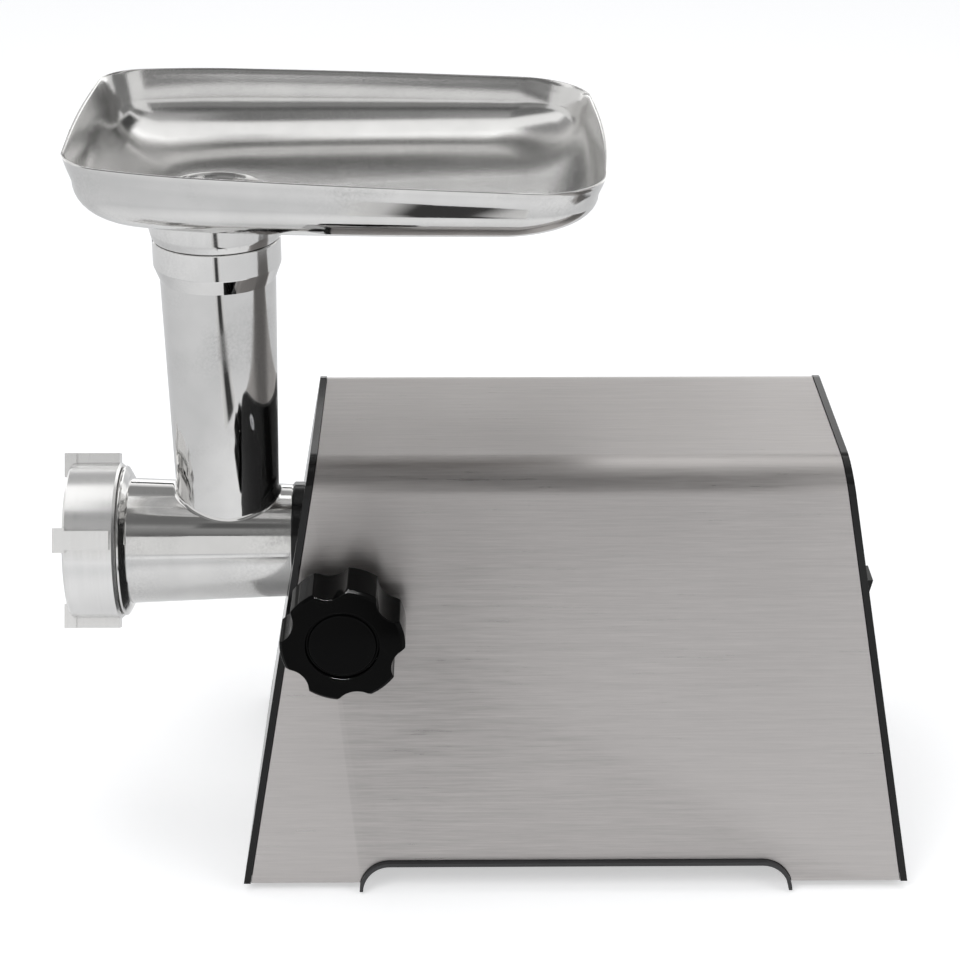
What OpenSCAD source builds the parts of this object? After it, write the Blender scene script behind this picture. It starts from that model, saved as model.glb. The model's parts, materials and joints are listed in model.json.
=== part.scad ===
// Electric meat grinder: a steel-clad motor body with a clamped grinding head
// and a feed tray. Lengths in millimetres, angles in degrees, +Z up.
// The model is laid out about the body's centre with the head pointing to -X,
// then placed() moves it so that the origin is under the middle of its box.

/* [Body shell] */
// Height of the steel's bottom edge above the table
base_gap = 4; // [3.5:0.5:6]
// Height of the steel shell
shell_h = 180.7; // [178:0.1:200]
// Length of the shell along its bottom edge
shell_len = 277; // [270:1:300]
// Depth of the shell across its bottom edge
shell_dep = 166.6; // [164:0.2:180]
// Lean of the two long faces
side_lean = 9.4; // [8.5:0.1:9.8]
// Lean of the two end faces
end_lean = 9.7; // [8.5:0.1:10.5]
// Radius of the two long top shoulders
shoulder_r = 15.3; // [10:0.1:18]
// Thickness of the steel sheet
shell_t = 0.8; // [0.6:0.1:1.2]

/* [End panels] */
// Thickness of each end panel, measured along X
panel_t = 3; // [2.5:0.1:4]
// How far an end panel stands proud of the sheet around it
panel_proud = 0.6; // [0.3:0.1:1]
// Depth of the panel rim that plugs into the shell
rim_depth = 8; // [5:0.5:12]
// Wall of the panel rim
rim_t = 2.4; // [1.8:0.1:3]
// Diameter of the tie rods that join the two panels
tie_d = 7; // [6:0.5:8]
// Distance of each tie rod from the centre plane
tie_y = 33; // [28:0.5:35]
// Depth of the tie rods under the shell's top
tie_drop = 10.5; // [9:0.5:12]

/* [Base] */
// Steel left beyond each end of the arch in the long faces
arch_margin = 46.2; // [43.5:0.1:53]
// Height of the arch above the steel's bottom edge
arch_h = 10; // [8:0.5:14]
// Radius of the arch's corners
arch_r = 13; // [11:0.5:16]
// Thickness of the base tray
base_t = 2.5; // [2:0.1:3]
// Thickness of the lip that lines each arch
lip_t = 1.5; // [1.2:0.1:2]
// How far the lip stands out from the steel face
lip_out = 2.5; // [1.5:0.1:3.5]
// How far the lip's ends drop below the steel's bottom edge
lip_drop = 2.8; // [2:0.1:3.2]
// Diameter of each rubber foot
foot_d = 20; // [16:0.5:24]
// Distance of the feet in from the ends of the steel
foot_in_x = 24.5; // [20.5:0.5:30.5]
// Distance of the feet in from the long faces of the steel
foot_in_y = 21.3; // [17:0.1:29]
// Number of vent slots in the base
vent_count = 11; // [5:1:13]

/* [Grinding head] */
// Distance of the grinding axis below the top of the steel
axis_drop = 58.8; // [56.7:0.1:59.7]
// Space between the panel face and the barrel
barrel_gap = 0.9; // [0.7:0.1:2]
// Length of the tapered barrel
barrel_len = 69.5; // [66:0.5:72]
// Barrel diameter at the body end
barrel_rear_d = 48.9; // [48:0.1:51]
// Barrel diameter at the flange
barrel_front_d = 54.6; // [53:0.1:58]
// Diameter of the auger chamber
chamber_d = 43; // [41:0.1:43.6]
// Diameter of the neck that slides into the body
neck_d = 48; // [46:0.1:48.6]
// Wall of the neck
neck_t = 3.4; // [3:0.1:4]
// How far the neck runs past the lock screw's axis
neck_past = 8.3; // [7:0.1:10]
// Thickness of the wall between the neck and the chamber
neck_wall = 5; // [4:0.5:6]
// Diameter of the flange behind the ring nut
flange_d = 65.4; // [64:0.1:67]
// Thickness of the flange
flange_t = 4; // [3:0.5:5]
// Diameter over the barrel's front thread
thread_d = 59.4; // [59:0.1:60]
// Distance from the barrel's body end to the throat's axis
throat_back = 27.6; // [26.5:0.1:29]
// Throat diameter where it leaves the barrel
throat_low_d = 44; // [43:0.1:45]
// Depth of the throat, front to back, where it leaves the barrel
throat_low_dep = 35.2; // [34:0.2:38]
// Throat diameter under the collar
throat_top_d = 48.1; // [47:0.1:49.5]
// Wall of the throat
throat_t = 3.2; // [2.6:0.1:3.6]
// Height of the collar's lower edge above the grinding axis
collar_up = 122.1; // [118:0.1:128]
// Diameter of the collar
collar_d = 53; // [52:0.1:55]
// Height of the straight part of the collar
collar_h = 11; // [10:0.5:14]

/* [Ring nut and cutting parts] */
// Outer diameter of the ring nut
ring_d = 68; // [67:0.1:70]
// Length of the ring nut's body
ring_len = 22; // [20.5:0.1:24]
// Thickness of the ring nut's front lip
ring_lip = 2.3; // [1.8:0.1:3]
// Diameter of the opening in the ring nut's face
ring_open_d = 47; // [44:0.5:49]
// Diameter over the ring nut's lugs
lug_d = 76; // [75:0.1:79]
// Width of each lug
lug_w = 8; // [6:0.5:10]
// Width of the tab on each lug's front end
tab_w = 10.5; // [9:0.5:12]
// Thickness of each tab
tab_t = 3.2; // [2:0.1:4]
// How far each tab reaches in from the lug's top
tab_in = 10.5; // [9:0.5:12]
// Turn of the first lug from the +Z axis
lug_turn = 64; // [45:1:90]
// Diameter of the grinding plate
plate_d = 54; // [53:0.1:54.4]
// Thickness of the grinding plate
plate_t = 5; // [4:0.1:5.4]
// Diameter of the plate's cutting holes
plate_hole_d = 3.8; // [3:0.1:3.8]
// Thickness of the four-armed blade
blade_t = 4; // [3:0.5:5]
// Clearance between the circle the blade sweeps and the chamber wall
blade_gap = 1.5; // [1:0.1:3.5]
// Diameter of the auger over its flight
auger_d = 41.4; // [39:0.1:41.8]
// Diameter of the auger's core
core_d = 19; // [17:0.5:22]
// Number of turns of the auger's flight
auger_turns = 2.6; // [2:0.1:3.2]
// Width across the flats of the auger's drive hexagon
hex_af = 13; // [11:0.5:14]
// Side of the square that drives the blade
square_w = 9; // [8:0.5:9.5]
// Diameter of the stud that runs in the plate
stud_d = 8; // [7:0.5:8]

/* [Feed tray] */
// Height of the tray's rim above the collar's top, at the throat
rim_up = 49.4; // [46:0.2:54]
// Fall of the rim towards the body, in millimetres per millimetre
rim_slope = 0.0395; // [0.03:0.001:0.045]
// Height of the tray's floor above the collar's top, at the throat
floor_up = 19.6; // [18:0.2:22]
// Length of the tray
tray_len = 215.2; // [208:0.4:225]
// Distance from the throat's axis to the tray's outer end
tray_over = 54.6; // [53:0.2:58]
// Half width of the tray near its outer end
tray_half_out = 69; // [67:0.2:72]
// Half width of the tray near its inner end
tray_half_in = 83.8; // [81:0.2:85]
// Radius of the rim's two outer corners
rim_out_r = 22; // [15:0.5:25]
// Radius of the rim's two inner corners
rim_in_r = 30; // [22:0.5:33]
// Thickness of the tray's sheet
tray_t = 1.2; // [0.9:0.1:1.5]
// Distance from the rim in to the tray's flat floor
bowl_w = 30; // [26:0.5:31]
// How far the tray's neck drops into the collar
plug_h = 7; // [6:0.5:9]

/* [Lock knob] */
// Distance of the lock screw's axis behind the front panel's face
lock_inset = 24.3; // [22:0.1:27]
// Diameter of the knob
knob_d = 50.5; // [46:0.5:52]
// Thickness of the knob
knob_t = 22; // [18:0.5:24]
// Number of lobes
knob_lobes = 6; // [5:1:8]
// Depth of the scallops between the lobes
scallop_deep = 4; // [3:0.1:4.5]
// Radius of each scallop
scallop_r = 9.5; // [8:0.5:11]
// Turn of the first scallop from +X, seen from the knob's front
scallop_turn = 40.5; // [0:0.5:60]
// Gap between the back of the knob and the steel face
knob_gap = 12.1; // [11:0.1:14]
// Diameter of the knob's hub
hub_d = 21; // [18:0.5:24]
// Diameter of the lock screw
lock_d = 10; // [8:0.5:10]

/* [Gearbox] */
// Module of the output gears
out_module = 1.75; // [1.7:0.01:1.8]
// Teeth of the output gear
out_teeth = 48; // [46:1:49]
// Teeth of the pinion that drives the output gear
out_pinion_teeth = 13; // [12:1:14]
// Module of the middle gears
mid_module = 1.25; // [1.2:0.01:1.3]
// Teeth of the middle gear
mid_teeth = 52; // [50:1:53]
// Teeth of the pinion that drives the middle gear
mid_pinion_teeth = 13; // [12:1:14]
// Module of the motor gears
in_module = 1; // [0.95:0.01:1.05]
// Teeth of the gear that the motor drives
in_teeth = 60; // [58:1:62]
// Teeth of the motor pinion
in_pinion_teeth = 10; // [10:1:12]
// Pressure angle of all the gears
pressure = 25; // [24:1:27]
// Play between meshing teeth
backlash = 0.16; // [0.1:0.02:0.3]
// Face width of the output gear
out_gear_w = 14; // [12:0.5:15]
// Face width of the middle gear
mid_gear_w = 10; // [8:0.5:11]
// Face width of the motor gear
in_gear_w = 8; // [7:0.5:9]
// Wall of the gearbox
box_t = 3.5; // [3:0.1:4]
// Diameter of the output shaft
out_shaft_d = 14; // [12:0.5:15]
// Diameter of the two middle shafts
mid_shaft_d = 8; // [7:0.5:9]

/* [Motor] */
// Diameter of the motor shaft
motor_shaft_d = 7; // [6:0.5:7]
// Width of the stator, along Y
stator_w = 78; // [76:1:84]
// Height of the stator
stator_h = 62; // [60:1:66]
// Length of the stator's stack
stack_len = 38; // [32:1:42]
// Diameter of the armature
armature_d = 37; // [34:0.5:38]
// Diameter of the commutator
commutator_d = 23; // [21:0.5:25]
// Diameter of the cooling fan
fan_d = 58; // [50:1:60]
// Number of fan blades
fan_blades = 12; // [8:1:14]

/* [Controls] */
// Distance of the switch from the centre plane, on the rear panel
switch_y = -13; // [-18:0.5:-8]
// Height of the switch's pivot above the table
switch_z = 105; // [100:0.5:115]
// Half of the rocker's full swing
rocker_tilt = 11; // [8:0.5:12]
// Width of the rocker
rocker_w = 14.6; // [12:0.2:16]
// Half length of the rocker
rocker_half = 11; // [10:0.2:11.4]
// Height of the reset button above the table
reset_z = 66; // [60:1:74]
// Diameter of the reset button
reset_d = 8; // [6:0.5:9]
// Distance of the cord gland from the centre plane
gland_y = 36; // [30:1:42]
// Height of the cord gland above the table
gland_z = 33; // [30:1:38]
// Diameter of the hole that the cord runs through
gland_hole_d = 7.2; // [6:0.1:8]

/* [Fits] */
// Clearance of a shaft in its bearing, on the radius
run_fit = 0.05; // [0.03:0.01:0.1]
// Gap between pieces that move past each other
move_gap = 0.3; // [0.25:0.05:0.35]
// Gap around a piece that is fixed in a hole
fixed_gap = 0.1; // [0.05:0.05:0.2]

/* [Hidden] */
$fn = 96;

// Gear tooth proportions, as shares of the module
add_k = 0.8;
ded_k = 1.05;

// Body
top_z = base_gap + shell_h;
axis_h = top_z - axis_drop;
arch_len = shell_len - 2 * arch_margin;
blade_d = chamber_d - 2 * blade_gap;
foot_x = shell_len / 2 - foot_in_x;
foot_y = shell_dep / 2 - foot_in_y;
shoulder_z = top_z - shoulder_r;
shoulder_y = half_dep(shoulder_z) - shoulder_r / cos(side_lean);
floor_low = base_gap;
floor_high = base_gap + arch_h;
floor_under = floor_high - lip_t - fixed_gap;
base_top = floor_under + base_t;
foot_screw_d = 4;
foot_head_d = 8;
foot_recess = 2.2;
cut_far = 400;

// Stations along X, from the body's face towards the head
face_x = -(half_len(axis_h) + panel_t);
lock_x = face_x + lock_inset;
neck_end_x = lock_x + neck_past;
barrel_x = face_x - barrel_gap;
flange_x = barrel_x - barrel_len;
ring_rear_x = flange_x - flange_t - move_gap;
ring_front_x = ring_rear_x - ring_len;
tab_x = ring_front_x - tab_t;
plate_front_x = ring_front_x + ring_lip + move_gap;
plate_rear_x = plate_front_x + plate_t;
blade_front_x = plate_rear_x + move_gap;
blade_rear_x = blade_front_x + blade_t;
thread_end_x = plate_front_x + plate_t / 4;
chamber_end_x = barrel_x + neck_wall - 1.5;
neck_step_x = chamber_end_x + neck_wall;
washer_t = 1.5;
key_d = 2.4;
key_deep = 1.4;
auger_rear_x = chamber_end_x - washer_t - move_gap;
auger_front_x = blade_rear_x + fixed_gap;
throat_x = barrel_x - throat_back;
rear_x = half_len(base_gap) + panel_t;
bezel_d = max(barrel_rear_d, neck_d) + 2.1;
bezel_out = 0.5;
bezel_deep = 12;
socket_d = neck_d + 9;
socket_bore = neck_d + 2 * move_gap;

// Throat and tray heights
throat_low_z = axis_h + barrel_rear_d / 2;
collar_z = axis_h + collar_up;
collar_bevel = 6.5;
collar_top = collar_z + collar_bevel + collar_h;
collar_bore = collar_d - 3.4;
collar_floor = collar_top - plug_h - 2;
rim_z = collar_top + rim_up;
floor_z = collar_top + floor_up;
feed_d = collar_bore - 2 * throat_t;

// Lock knob
steel_y = half_dep(axis_h);
knob_back_y = -(steel_y + knob_gap);
knob_front_y = knob_back_y - knob_t;
lock_tip_y = -(neck_d / 2 + move_gap);
lock_travel = 4.5;
bush_y = -(steel_y + 3);
knob_face_d = 29.8;
cap_d = 27.3;
hub_len = knob_gap - 9;

// Origin of the finished part
mid_x = (tab_x + rear_x) / 2;
mid_y = (knob_front_y + half_dep(base_gap - lip_drop) + lip_out / cos(side_lean)) / 2;

// Gear train, as [y, z] places on planes across X
out_reach = out_module * (out_teeth + out_pinion_teeth) / 2;
mid_reach = mid_module * (mid_teeth + mid_pinion_teeth) / 2;
in_reach = in_module * (in_teeth + in_pinion_teeth) / 2;
out_dir = -75;
mid_dir = 180;
in_dir = -20;
out_at = [0, axis_h];
mid_at = out_at + out_reach * [cos(out_dir), sin(out_dir)];
first_at = mid_at + mid_reach * [cos(mid_dir), sin(mid_dir)];
motor_at = first_at + in_reach * [cos(in_dir), sin(in_dir)];
out_turn = 0;
mid_turn = mesh_turn(out_turn, out_teeth, out_pinion_teeth, out_dir);
first_turn = mesh_turn(mid_turn, mid_teeth, mid_pinion_teeth, mid_dir);
motor_turn = mesh_turn(first_turn, in_teeth, in_pinion_teeth, in_dir);
box_x = neck_end_x + 4;
box_wall = 4;
gear_gap = 3;
out_gear_x = box_x + box_wall + gear_gap;
mid_gear_x = out_gear_x + out_gear_w + gear_gap;
in_gear_x = mid_gear_x + mid_gear_w + gear_gap;
cover_x = in_gear_x + in_gear_w + gear_gap;
cover_end_x = cover_x + box_wall;
boss_x = 6;
bush_len = box_wall + boss_x - 2;
bush_wall = 3;
out_rad = tip_r(out_module, out_teeth) + 2;
mid_rad = tip_r(mid_module, mid_teeth) + 2;
first_rad = tip_r(in_module, in_teeth) + 2;
nose_len = 10;
bearing_d = 30;
bearing_w = 9;
coupler_x = neck_step_x + 1.5;
coupler_d = neck_d - 2 * neck_t - 7;
coupler_end_x = box_x - nose_len - 1.5;
hex_end_x = coupler_end_x - 5;

// Motor stations
bracket_t = 3;
front_bracket_x = cover_end_x + boss_x + 1;
motor_bearing_d = 19;
motor_bearing_w = 6;
fan_x = front_bracket_x + motor_bearing_w + 4;
fan_len = 9;
coil_len = 8;
stack_x = fan_x + fan_len + coil_len + 3;
stack_end_x = stack_x + stack_len;
commutator_x = stack_end_x + coil_len + 3;
commutator_len = 14;
rear_bracket_x = commutator_x + commutator_len + 6;
shaft_end_x = rear_bracket_x + bracket_t + 6;
stator_bore = armature_d + 1.4;
motor_bolt_d = 4;
pinion_bore = 5;
shaft_fit = 0.04;
motor_bolt_y = stator_w / 2 - 5;
brush_w = 6;
brush_h = 8;

// Controls
switch_well_half = rocker_half + 2.2;
switch_frame_half = switch_well_half + 2.8;
switch_frame_w = rocker_w + 6.4;
frame_proud = 2;
rocker_pivot = -2;
rocker_out = 4.8;
pivot_d = 3;
gland_d = gland_hole_d + 5;

function half_dep(z) = shell_dep / 2 - (z - base_gap) * tan(side_lean);
function half_len(z) = shell_len / 2 - (z - base_gap) * tan(end_lean);
function lerp(a, b, f) = a + (b - a) * f;
function unit(v) = v / norm(v);

// ---- shared shapes ----

module placed() {
  translate([-mid_x, -mid_y, 0]) children();
}

// Extrudes a [y, z] outline along X.
module along_x(x0, x1) {
  translate([x0, 0, 0]) rotate([90, 0, 90]) linear_extrude(x1 - x0) children();
}

// Extrudes an [x, z] outline along Y, from y0 to y1.
module along_y(y0, y1) {
  translate([0, y1, 0]) rotate([90, 0, 0]) linear_extrude(y1 - y0) children();
}

module rod_x(x0, x1, d, at) {
  translate([x0, at[0], at[1]]) rotate([0, 90, 0]) cylinder(d = d, h = x1 - x0);
}

module cone_x(x0, x1, d0, d1, at) {
  translate([x0, at[0], at[1]]) rotate([0, 90, 0]) cylinder(d1 = d0, d2 = d1, h = x1 - x0);
}

module tube_x(x0, x1, d, bore, at) {
  difference() {
    rod_x(x0, x1, d, at);
    rod_x(x0 - 1, x1 + 1, bore, at);
  }
}

module rod_y(y0, y1, d, x, z) {
  translate([x, y1, z]) rotate([90, 0, 0]) cylinder(d = d, h = y1 - y0);
}

// The body's outline across X, grown by a distance, down to a height.
module body_outline(grow, low) {
  side = half_dep(low) + grow / cos(side_lean);
  round_r = shoulder_r + grow;
  tangent = [shoulder_y + round_r * cos(side_lean), shoulder_z + round_r * sin(side_lean)];
  polygon([
    [-side, low], [side, low], tangent, [shoulder_y, top_z + grow],
    [-shoulder_y, top_z + grow], [-tangent[0], tangent[1]]
  ]);
  for (s = [-1, 1]) translate([s * shoulder_y, shoulder_z]) circle(r = round_r);
}

// A leaning slab at the body's rear end, between two offsets from the steel.
module end_slab(o0, o1) {
  low = -10;
  high = top_z + 20;
  along_y(-cut_far, cut_far) polygon([
    [half_len(low) + o0, low], [half_len(low) + o1, low],
    [half_len(high) + o1, high], [half_len(high) + o0, high]
  ]);
}

// Everything between the two leaning ends, each moved out by a distance.
module between_ends(out) {
  low = -10;
  high = top_z + 20;
  along_y(-cut_far, cut_far) polygon([
    [-half_len(low) - out, low], [half_len(low) + out, low],
    [half_len(high) + out, high], [-half_len(high) - out, high]
  ]);
}

module body_block(grow, low) {
  along_x(-cut_far, cut_far) body_outline(grow, low);
}

// The arch's outline in [x, z], shrunk by a distance.
module arch_outline(shrink, low) {
  half = arch_len / 2 - shrink;
  high = base_gap + arch_h - shrink;
  round_r = arch_r - shrink;
  intersection() {
    translate([-half, low]) square([2 * half, high - low]);
    union() {
      translate([-half + round_r, low - arch_r]) square([2 * (half - round_r), high - low + arch_r]);
      translate([-half, low - 2 * arch_r]) square([2 * half, high - round_r - low + 2 * arch_r]);
      for (s = [-1, 1]) translate([s * (half - round_r), high - round_r]) circle(r = round_r);
    }
  }
}

// A countersunk or pan screw along +Z: the head's top is at z = 0.
module screw(d, len, head_d, head_h) {
  slot = head_d * 0.14;
  difference() {
    union() {
      translate([0, 0, -head_h]) cylinder(d = head_d, h = head_h);
      translate([0, 0, -len]) cylinder(d = d, h = len - head_h / 2);
    }
    for (a = [0, 90]) rotate([0, 0, a]) translate([-head_d * 0.3, -slot / 2, -head_h * 0.6])
      cube([head_d * 0.6, slot, head_h]);
  }
}

// Puts children, drawn along +Z, on the rear panel's face with +Z pointing out.
module on_rear(y, z) {
  translate([half_len(z) + panel_t, y, z]) rotate([0, 90 - end_lean, 0]) children();
}

// ---- body shell and panels ----

module steel_shell() {
  color("silver") placed() difference() {
    intersection() {
      body_block(0, base_gap);
      between_ends(0);
    }
    body_block(-shell_t, base_gap - 1);
    along_y(-cut_far, cut_far) arch_outline(0, base_gap - 1);
    rod_y(-cut_far, 0, lock_d + 4, lock_x, axis_h);
  }
}

panel_tie_z = top_z - tie_drop;
panel_low_z = base_top + 9;
panel_low_y = 52;
tie_end_x = half_len(panel_tie_z) - rim_depth;
low_end_x = half_len(panel_low_z) - rim_depth;
boss_d = 11;
panel_screw_d = 4;
panel_screw_len = 18;
panel_head_d = 7.6;
panel_head_h = 2.4;

function panel_spots() = [
  [-tie_y, panel_tie_z], [tie_y, panel_tie_z],
  [-panel_low_y, panel_low_z], [panel_low_y, panel_low_z]
];

// Where the head of a panel screw rests, along X.
function head_seat(z) = half_len(z) + panel_t - 0.6;

module end_panel() {
  difference() {
    union() {
      intersection() {
        body_block(panel_proud, base_gap);
        end_slab(fixed_gap, panel_t);
      }
      difference() {
        intersection() {
          body_block(-shell_t - fixed_gap, base_gap + 3);
          end_slab(-rim_depth, 1);
        }
        body_block(-shell_t - fixed_gap - rim_t, base_gap + 3 + rim_t);
      }
      for (p = panel_spots()) intersection() {
        rod_x(half_len(p[1]) - rim_depth, half_len(p[1]) + 1, boss_d, p);
        end_slab(-cut_far, 1);
      }
    }
    for (p = panel_spots()) {
      rod_x(0, cut_far, panel_screw_d + 2 * fixed_gap, p);
      rod_x(head_seat(p[1]) - panel_head_h, cut_far, panel_head_d + 0.6, p);
    }
  }
}

module front_panel() {
  color([0.05, 0.05, 0.05]) placed() difference() {
    mirror([1, 0, 0]) end_panel();
    rod_x(-cut_far, 0, bezel_d + 2 * fixed_gap, out_at);
  }
}

module rear_panel() {
  vent_w = 3;
  color([0.05, 0.05, 0.05]) placed() difference() {
    end_panel();
    on_rear(switch_y, switch_z) translate([-switch_well_half - 1.4, -rocker_w / 2 - 2, -20])
      cube([2 * switch_well_half + 2.8, rocker_w + 4, 40]);
    on_rear(switch_y, reset_z) translate([0, 0, -20]) cylinder(d = reset_d + 5, h = 40);
    on_rear(gland_y, gland_z) translate([0, 0, -20]) cylinder(d = gland_d, h = 40);
    for (i = [0:7]) on_rear(32, 60 + i * 8) translate([-vent_w / 2, -16, -20])
      cube([vent_w, 32, 40]);
  }
}

module panel_screws() {
  color("dimgray") placed() for (s = [0, 1]) mirror([s, 0, 0]) for (p = panel_spots())
    translate([head_seat(p[1]), p[0], p[1]]) rotate([0, 90, 0])
      screw(panel_screw_d, panel_screw_len, panel_head_d, panel_head_h);
}

module tie_rods() {
  color("lightgray") placed() for (s = [-1, 1]) difference() {
    rod_x(-tie_end_x, tie_end_x, tie_d, [s * tie_y, panel_tie_z]);
    for (e = [0, 1]) mirror([e, 0, 0])
      rod_x(tie_end_x - 14, tie_end_x + 1, panel_screw_d + 2 * fixed_gap, [s * tie_y, panel_tie_z]);
  }
}

// ---- base ----

base_clear = shell_t + fixed_gap;
gear_foot_x = box_x + 4;
gear_foot_w = 20;
gear_foot_y = 22;
gear_post = 5;
gear_foot_z = base_top + gear_post;
motor_foot_x = rear_bracket_x + 8;
motor_post = 10.5;
motor_foot_z = base_top + motor_post;
board_x = rear_bracket_x + bracket_t + 14;
board_len = 34;
board_y0 = -44;
board_w = 46;
board_post = 6;
board_z = base_top + board_post;

// Posts under the gearbox and the motor, as [x, y, top].
function post_spots() = [
  [gear_foot_x + gear_foot_w / 2, -gear_foot_y, gear_foot_z],
  [gear_foot_x + gear_foot_w / 2, gear_foot_y, gear_foot_z],
  [motor_foot_x, motor_at[0] - 20, motor_foot_z],
  [motor_foot_x, motor_at[0] + 20, motor_foot_z]
];

module base_posts() {
  for (p = post_spots()) translate([p[0], p[1], floor_under])
    cylinder(d = 12, h = p[2] - floor_under);
  for (x = [board_x + 4, board_x + board_len - 4], y = [board_y0 + 4, board_y0 + board_w - 4])
    translate([x, y, floor_low + 1]) cylinder(d = 6, h = board_z - floor_low - 1);
}

module base_tray() {
  vent_len = 60;
  vent_pitch = 12;
  color([0.06, 0.06, 0.06]) placed() difference() {
    union() {
      // Floor strip that follows the arch across the whole depth
      intersection() {
        along_y(-cut_far, cut_far) difference() {
          union() {
            translate([-cut_far, floor_low]) square([2 * cut_far, base_t]);
            arch_outline(lip_t + fixed_gap - base_t, floor_low);
          }
          arch_outline(lip_t + fixed_gap, floor_low - 1);
        }
        body_block(-base_clear, base_gap);
        between_ends(-rim_depth - fixed_gap);
      }
      // Lips that line the two arches and stand out of the steel
      intersection() {
        along_y(-cut_far, cut_far) difference() {
          arch_outline(fixed_gap, base_gap - lip_drop);
          arch_outline(lip_t + fixed_gap, base_gap - lip_drop - 1);
        }
        body_block(lip_out, base_gap - lip_drop);
      }
      // Upstands for the panel screws
      for (s = [0, 1], y = [-panel_low_y, panel_low_y]) mirror([s, 0, 0])
        translate([low_end_x - 14, y - 6, floor_low]) cube([14 - fixed_gap, 12, panel_low_z + 6 - floor_low]);
      base_posts();
    }
    for (s = [0, 1], y = [-panel_low_y, panel_low_y]) mirror([s, 0, 0])
      rod_x(low_end_x - 13, low_end_x + 1, panel_screw_d + 2 * fixed_gap, [y, panel_low_z]);
    for (i = [0:vent_count - 1])
      translate([(i - (vent_count - 1) / 2) * vent_pitch - 1.5 + 10, -vent_len / 2 + 20, 0])
        cube([3, vent_len / 3, floor_high + base_t + 1]);
    for (x = [-foot_x, foot_x], y = [-foot_y, foot_y])
      translate([x, y, 0]) cylinder(d = foot_screw_d + 2 * fixed_gap, h = 30);
    for (p = post_spots()) translate([p[0], p[1], 0]) {
      cylinder(d = foot_screw_d + 2 * fixed_gap, h = p[2] + 1);
      cylinder(d = foot_head_d + 2 * fixed_gap, h = floor_under);
    }
  }
}

module rubber_feet() {
  color([0.1, 0.1, 0.1]) placed() for (x = [-foot_x, foot_x], y = [-foot_y, foot_y])
    translate([x, y, 0]) difference() {
      union() {
        cylinder(d1 = foot_d - 2, d2 = foot_d, h = 1);
        translate([0, 0, 1]) cylinder(d = foot_d, h = floor_low - 1);
      }
      translate([0, 0, -1]) cylinder(d = foot_screw_d + 2 * fixed_gap, h = 20);
      translate([0, 0, -1]) cylinder(d = 8.6, h = foot_recess + 1);
    }
}

module base_screws() {
  head_h = 1.6;
  color("gray") placed() {
    for (x = [-foot_x, foot_x], y = [-foot_y, foot_y]) translate([x, y, foot_recess - head_h])
      mirror([0, 0, 1]) screw(foot_screw_d, 8, foot_head_d, head_h);
    for (p = post_spots()) translate([p[0], p[1], floor_under - head_h])
      mirror([0, 0, 1]) screw(foot_screw_d, p[2] - floor_under + head_h + bracket_t, foot_head_d, head_h);
  }
}

// ---- head socket and lock ----

module socket_bezel() {
  edge_x = face_x - bezel_out;
  color([0.04, 0.04, 0.04]) placed() difference() {
    union() {
      cone_x(edge_x, edge_x + 0.5, bezel_d - 1, bezel_d, out_at);
      rod_x(edge_x + 0.5, face_x + bezel_deep, bezel_d, out_at);
    }
    rod_x(-cut_far, 0, socket_bore, out_at);
  }
}

module head_socket() {
  flange_r = socket_d / 2 + 6;
  color("darkgray") placed() difference() {
    union() {
      rod_x(face_x + bezel_deep + fixed_gap, box_x, socket_d - 2.6, out_at);
      intersection() {
        rod_x(box_x - 4, box_x, 2 * flange_r, out_at);
        along_x(-cut_far, 0) translate([-flange_r, axis_h - 24]) square([2 * flange_r, 80]);
      }
      rod_y(-(steel_y - shell_t - 1.5), 0, 18, lock_x, axis_h);
    }
    rod_x(-cut_far, box_x + 1, socket_bore, out_at);
    rod_y(-cut_far, 0, lock_d + 2 * run_fit, lock_x, axis_h);
  }
}

module lock_bush() {
  sleeve_d = lock_d + 3.6;
  color("lightgray") placed() difference() {
    union() {
      // The flange seats on the leaning steel face
      difference() {
        rod_y(bush_y, 0, lock_d + 9, lock_x, axis_h);
        body_block(fixed_gap, 0);
      }
      rod_y(-steel_y - 1, -(steel_y - shell_t - 1.4), sleeve_d, lock_x, axis_h);
    }
    rod_y(-cut_far, 0, lock_d + 2 * run_fit, lock_x, axis_h);
  }
}

module lock_screw() {
  tip = 1.5;
  color("silver") placed() union() {
    rod_y(knob_back_y - knob_t / 2, lock_tip_y - tip, lock_d, lock_x, axis_h);
    translate([lock_x, lock_tip_y, axis_h]) rotate([90, 0, 0])
      cylinder(d1 = lock_d - 2 * tip, d2 = lock_d, h = tip);
  }
}

module knob_outline() {
  difference() {
    circle(d = knob_d);
    for (i = [0:knob_lobes - 1]) rotate(scallop_turn + i * 360 / knob_lobes)
      translate([knob_d / 2 - scallop_deep + scallop_r, 0]) circle(r = scallop_r);
  }
}

module lock_knob() {
  edge = 1.4;
  color([0.03, 0.03, 0.03]) placed() translate([lock_x, knob_back_y, axis_h]) rotate([90, 0, 0])
    difference() {
      union() {
        intersection() {
          linear_extrude(knob_t) knob_outline();
          union() {
            cylinder(d1 = knob_d - 2 * edge, d2 = knob_d + 0.2, h = edge);
            translate([0, 0, edge]) cylinder(d = knob_d + 0.2, h = knob_t - 2 * edge);
            translate([0, 0, knob_t - edge]) cylinder(d1 = knob_d + 0.2, d2 = knob_d - 2 * edge, h = edge);
          }
        }
        translate([0, 0, -hub_len]) cylinder(d1 = hub_d - 2, d2 = hub_d, h = hub_len);
      }
      translate([0, 0, -hub_len - 1]) cylinder(d = lock_d + 2 * run_fit, h = hub_len + 1 + knob_t / 2 + run_fit);
      translate([0, 0, knob_t - 2.4]) cylinder(d = knob_face_d, h = 3);
    }
}

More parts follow.
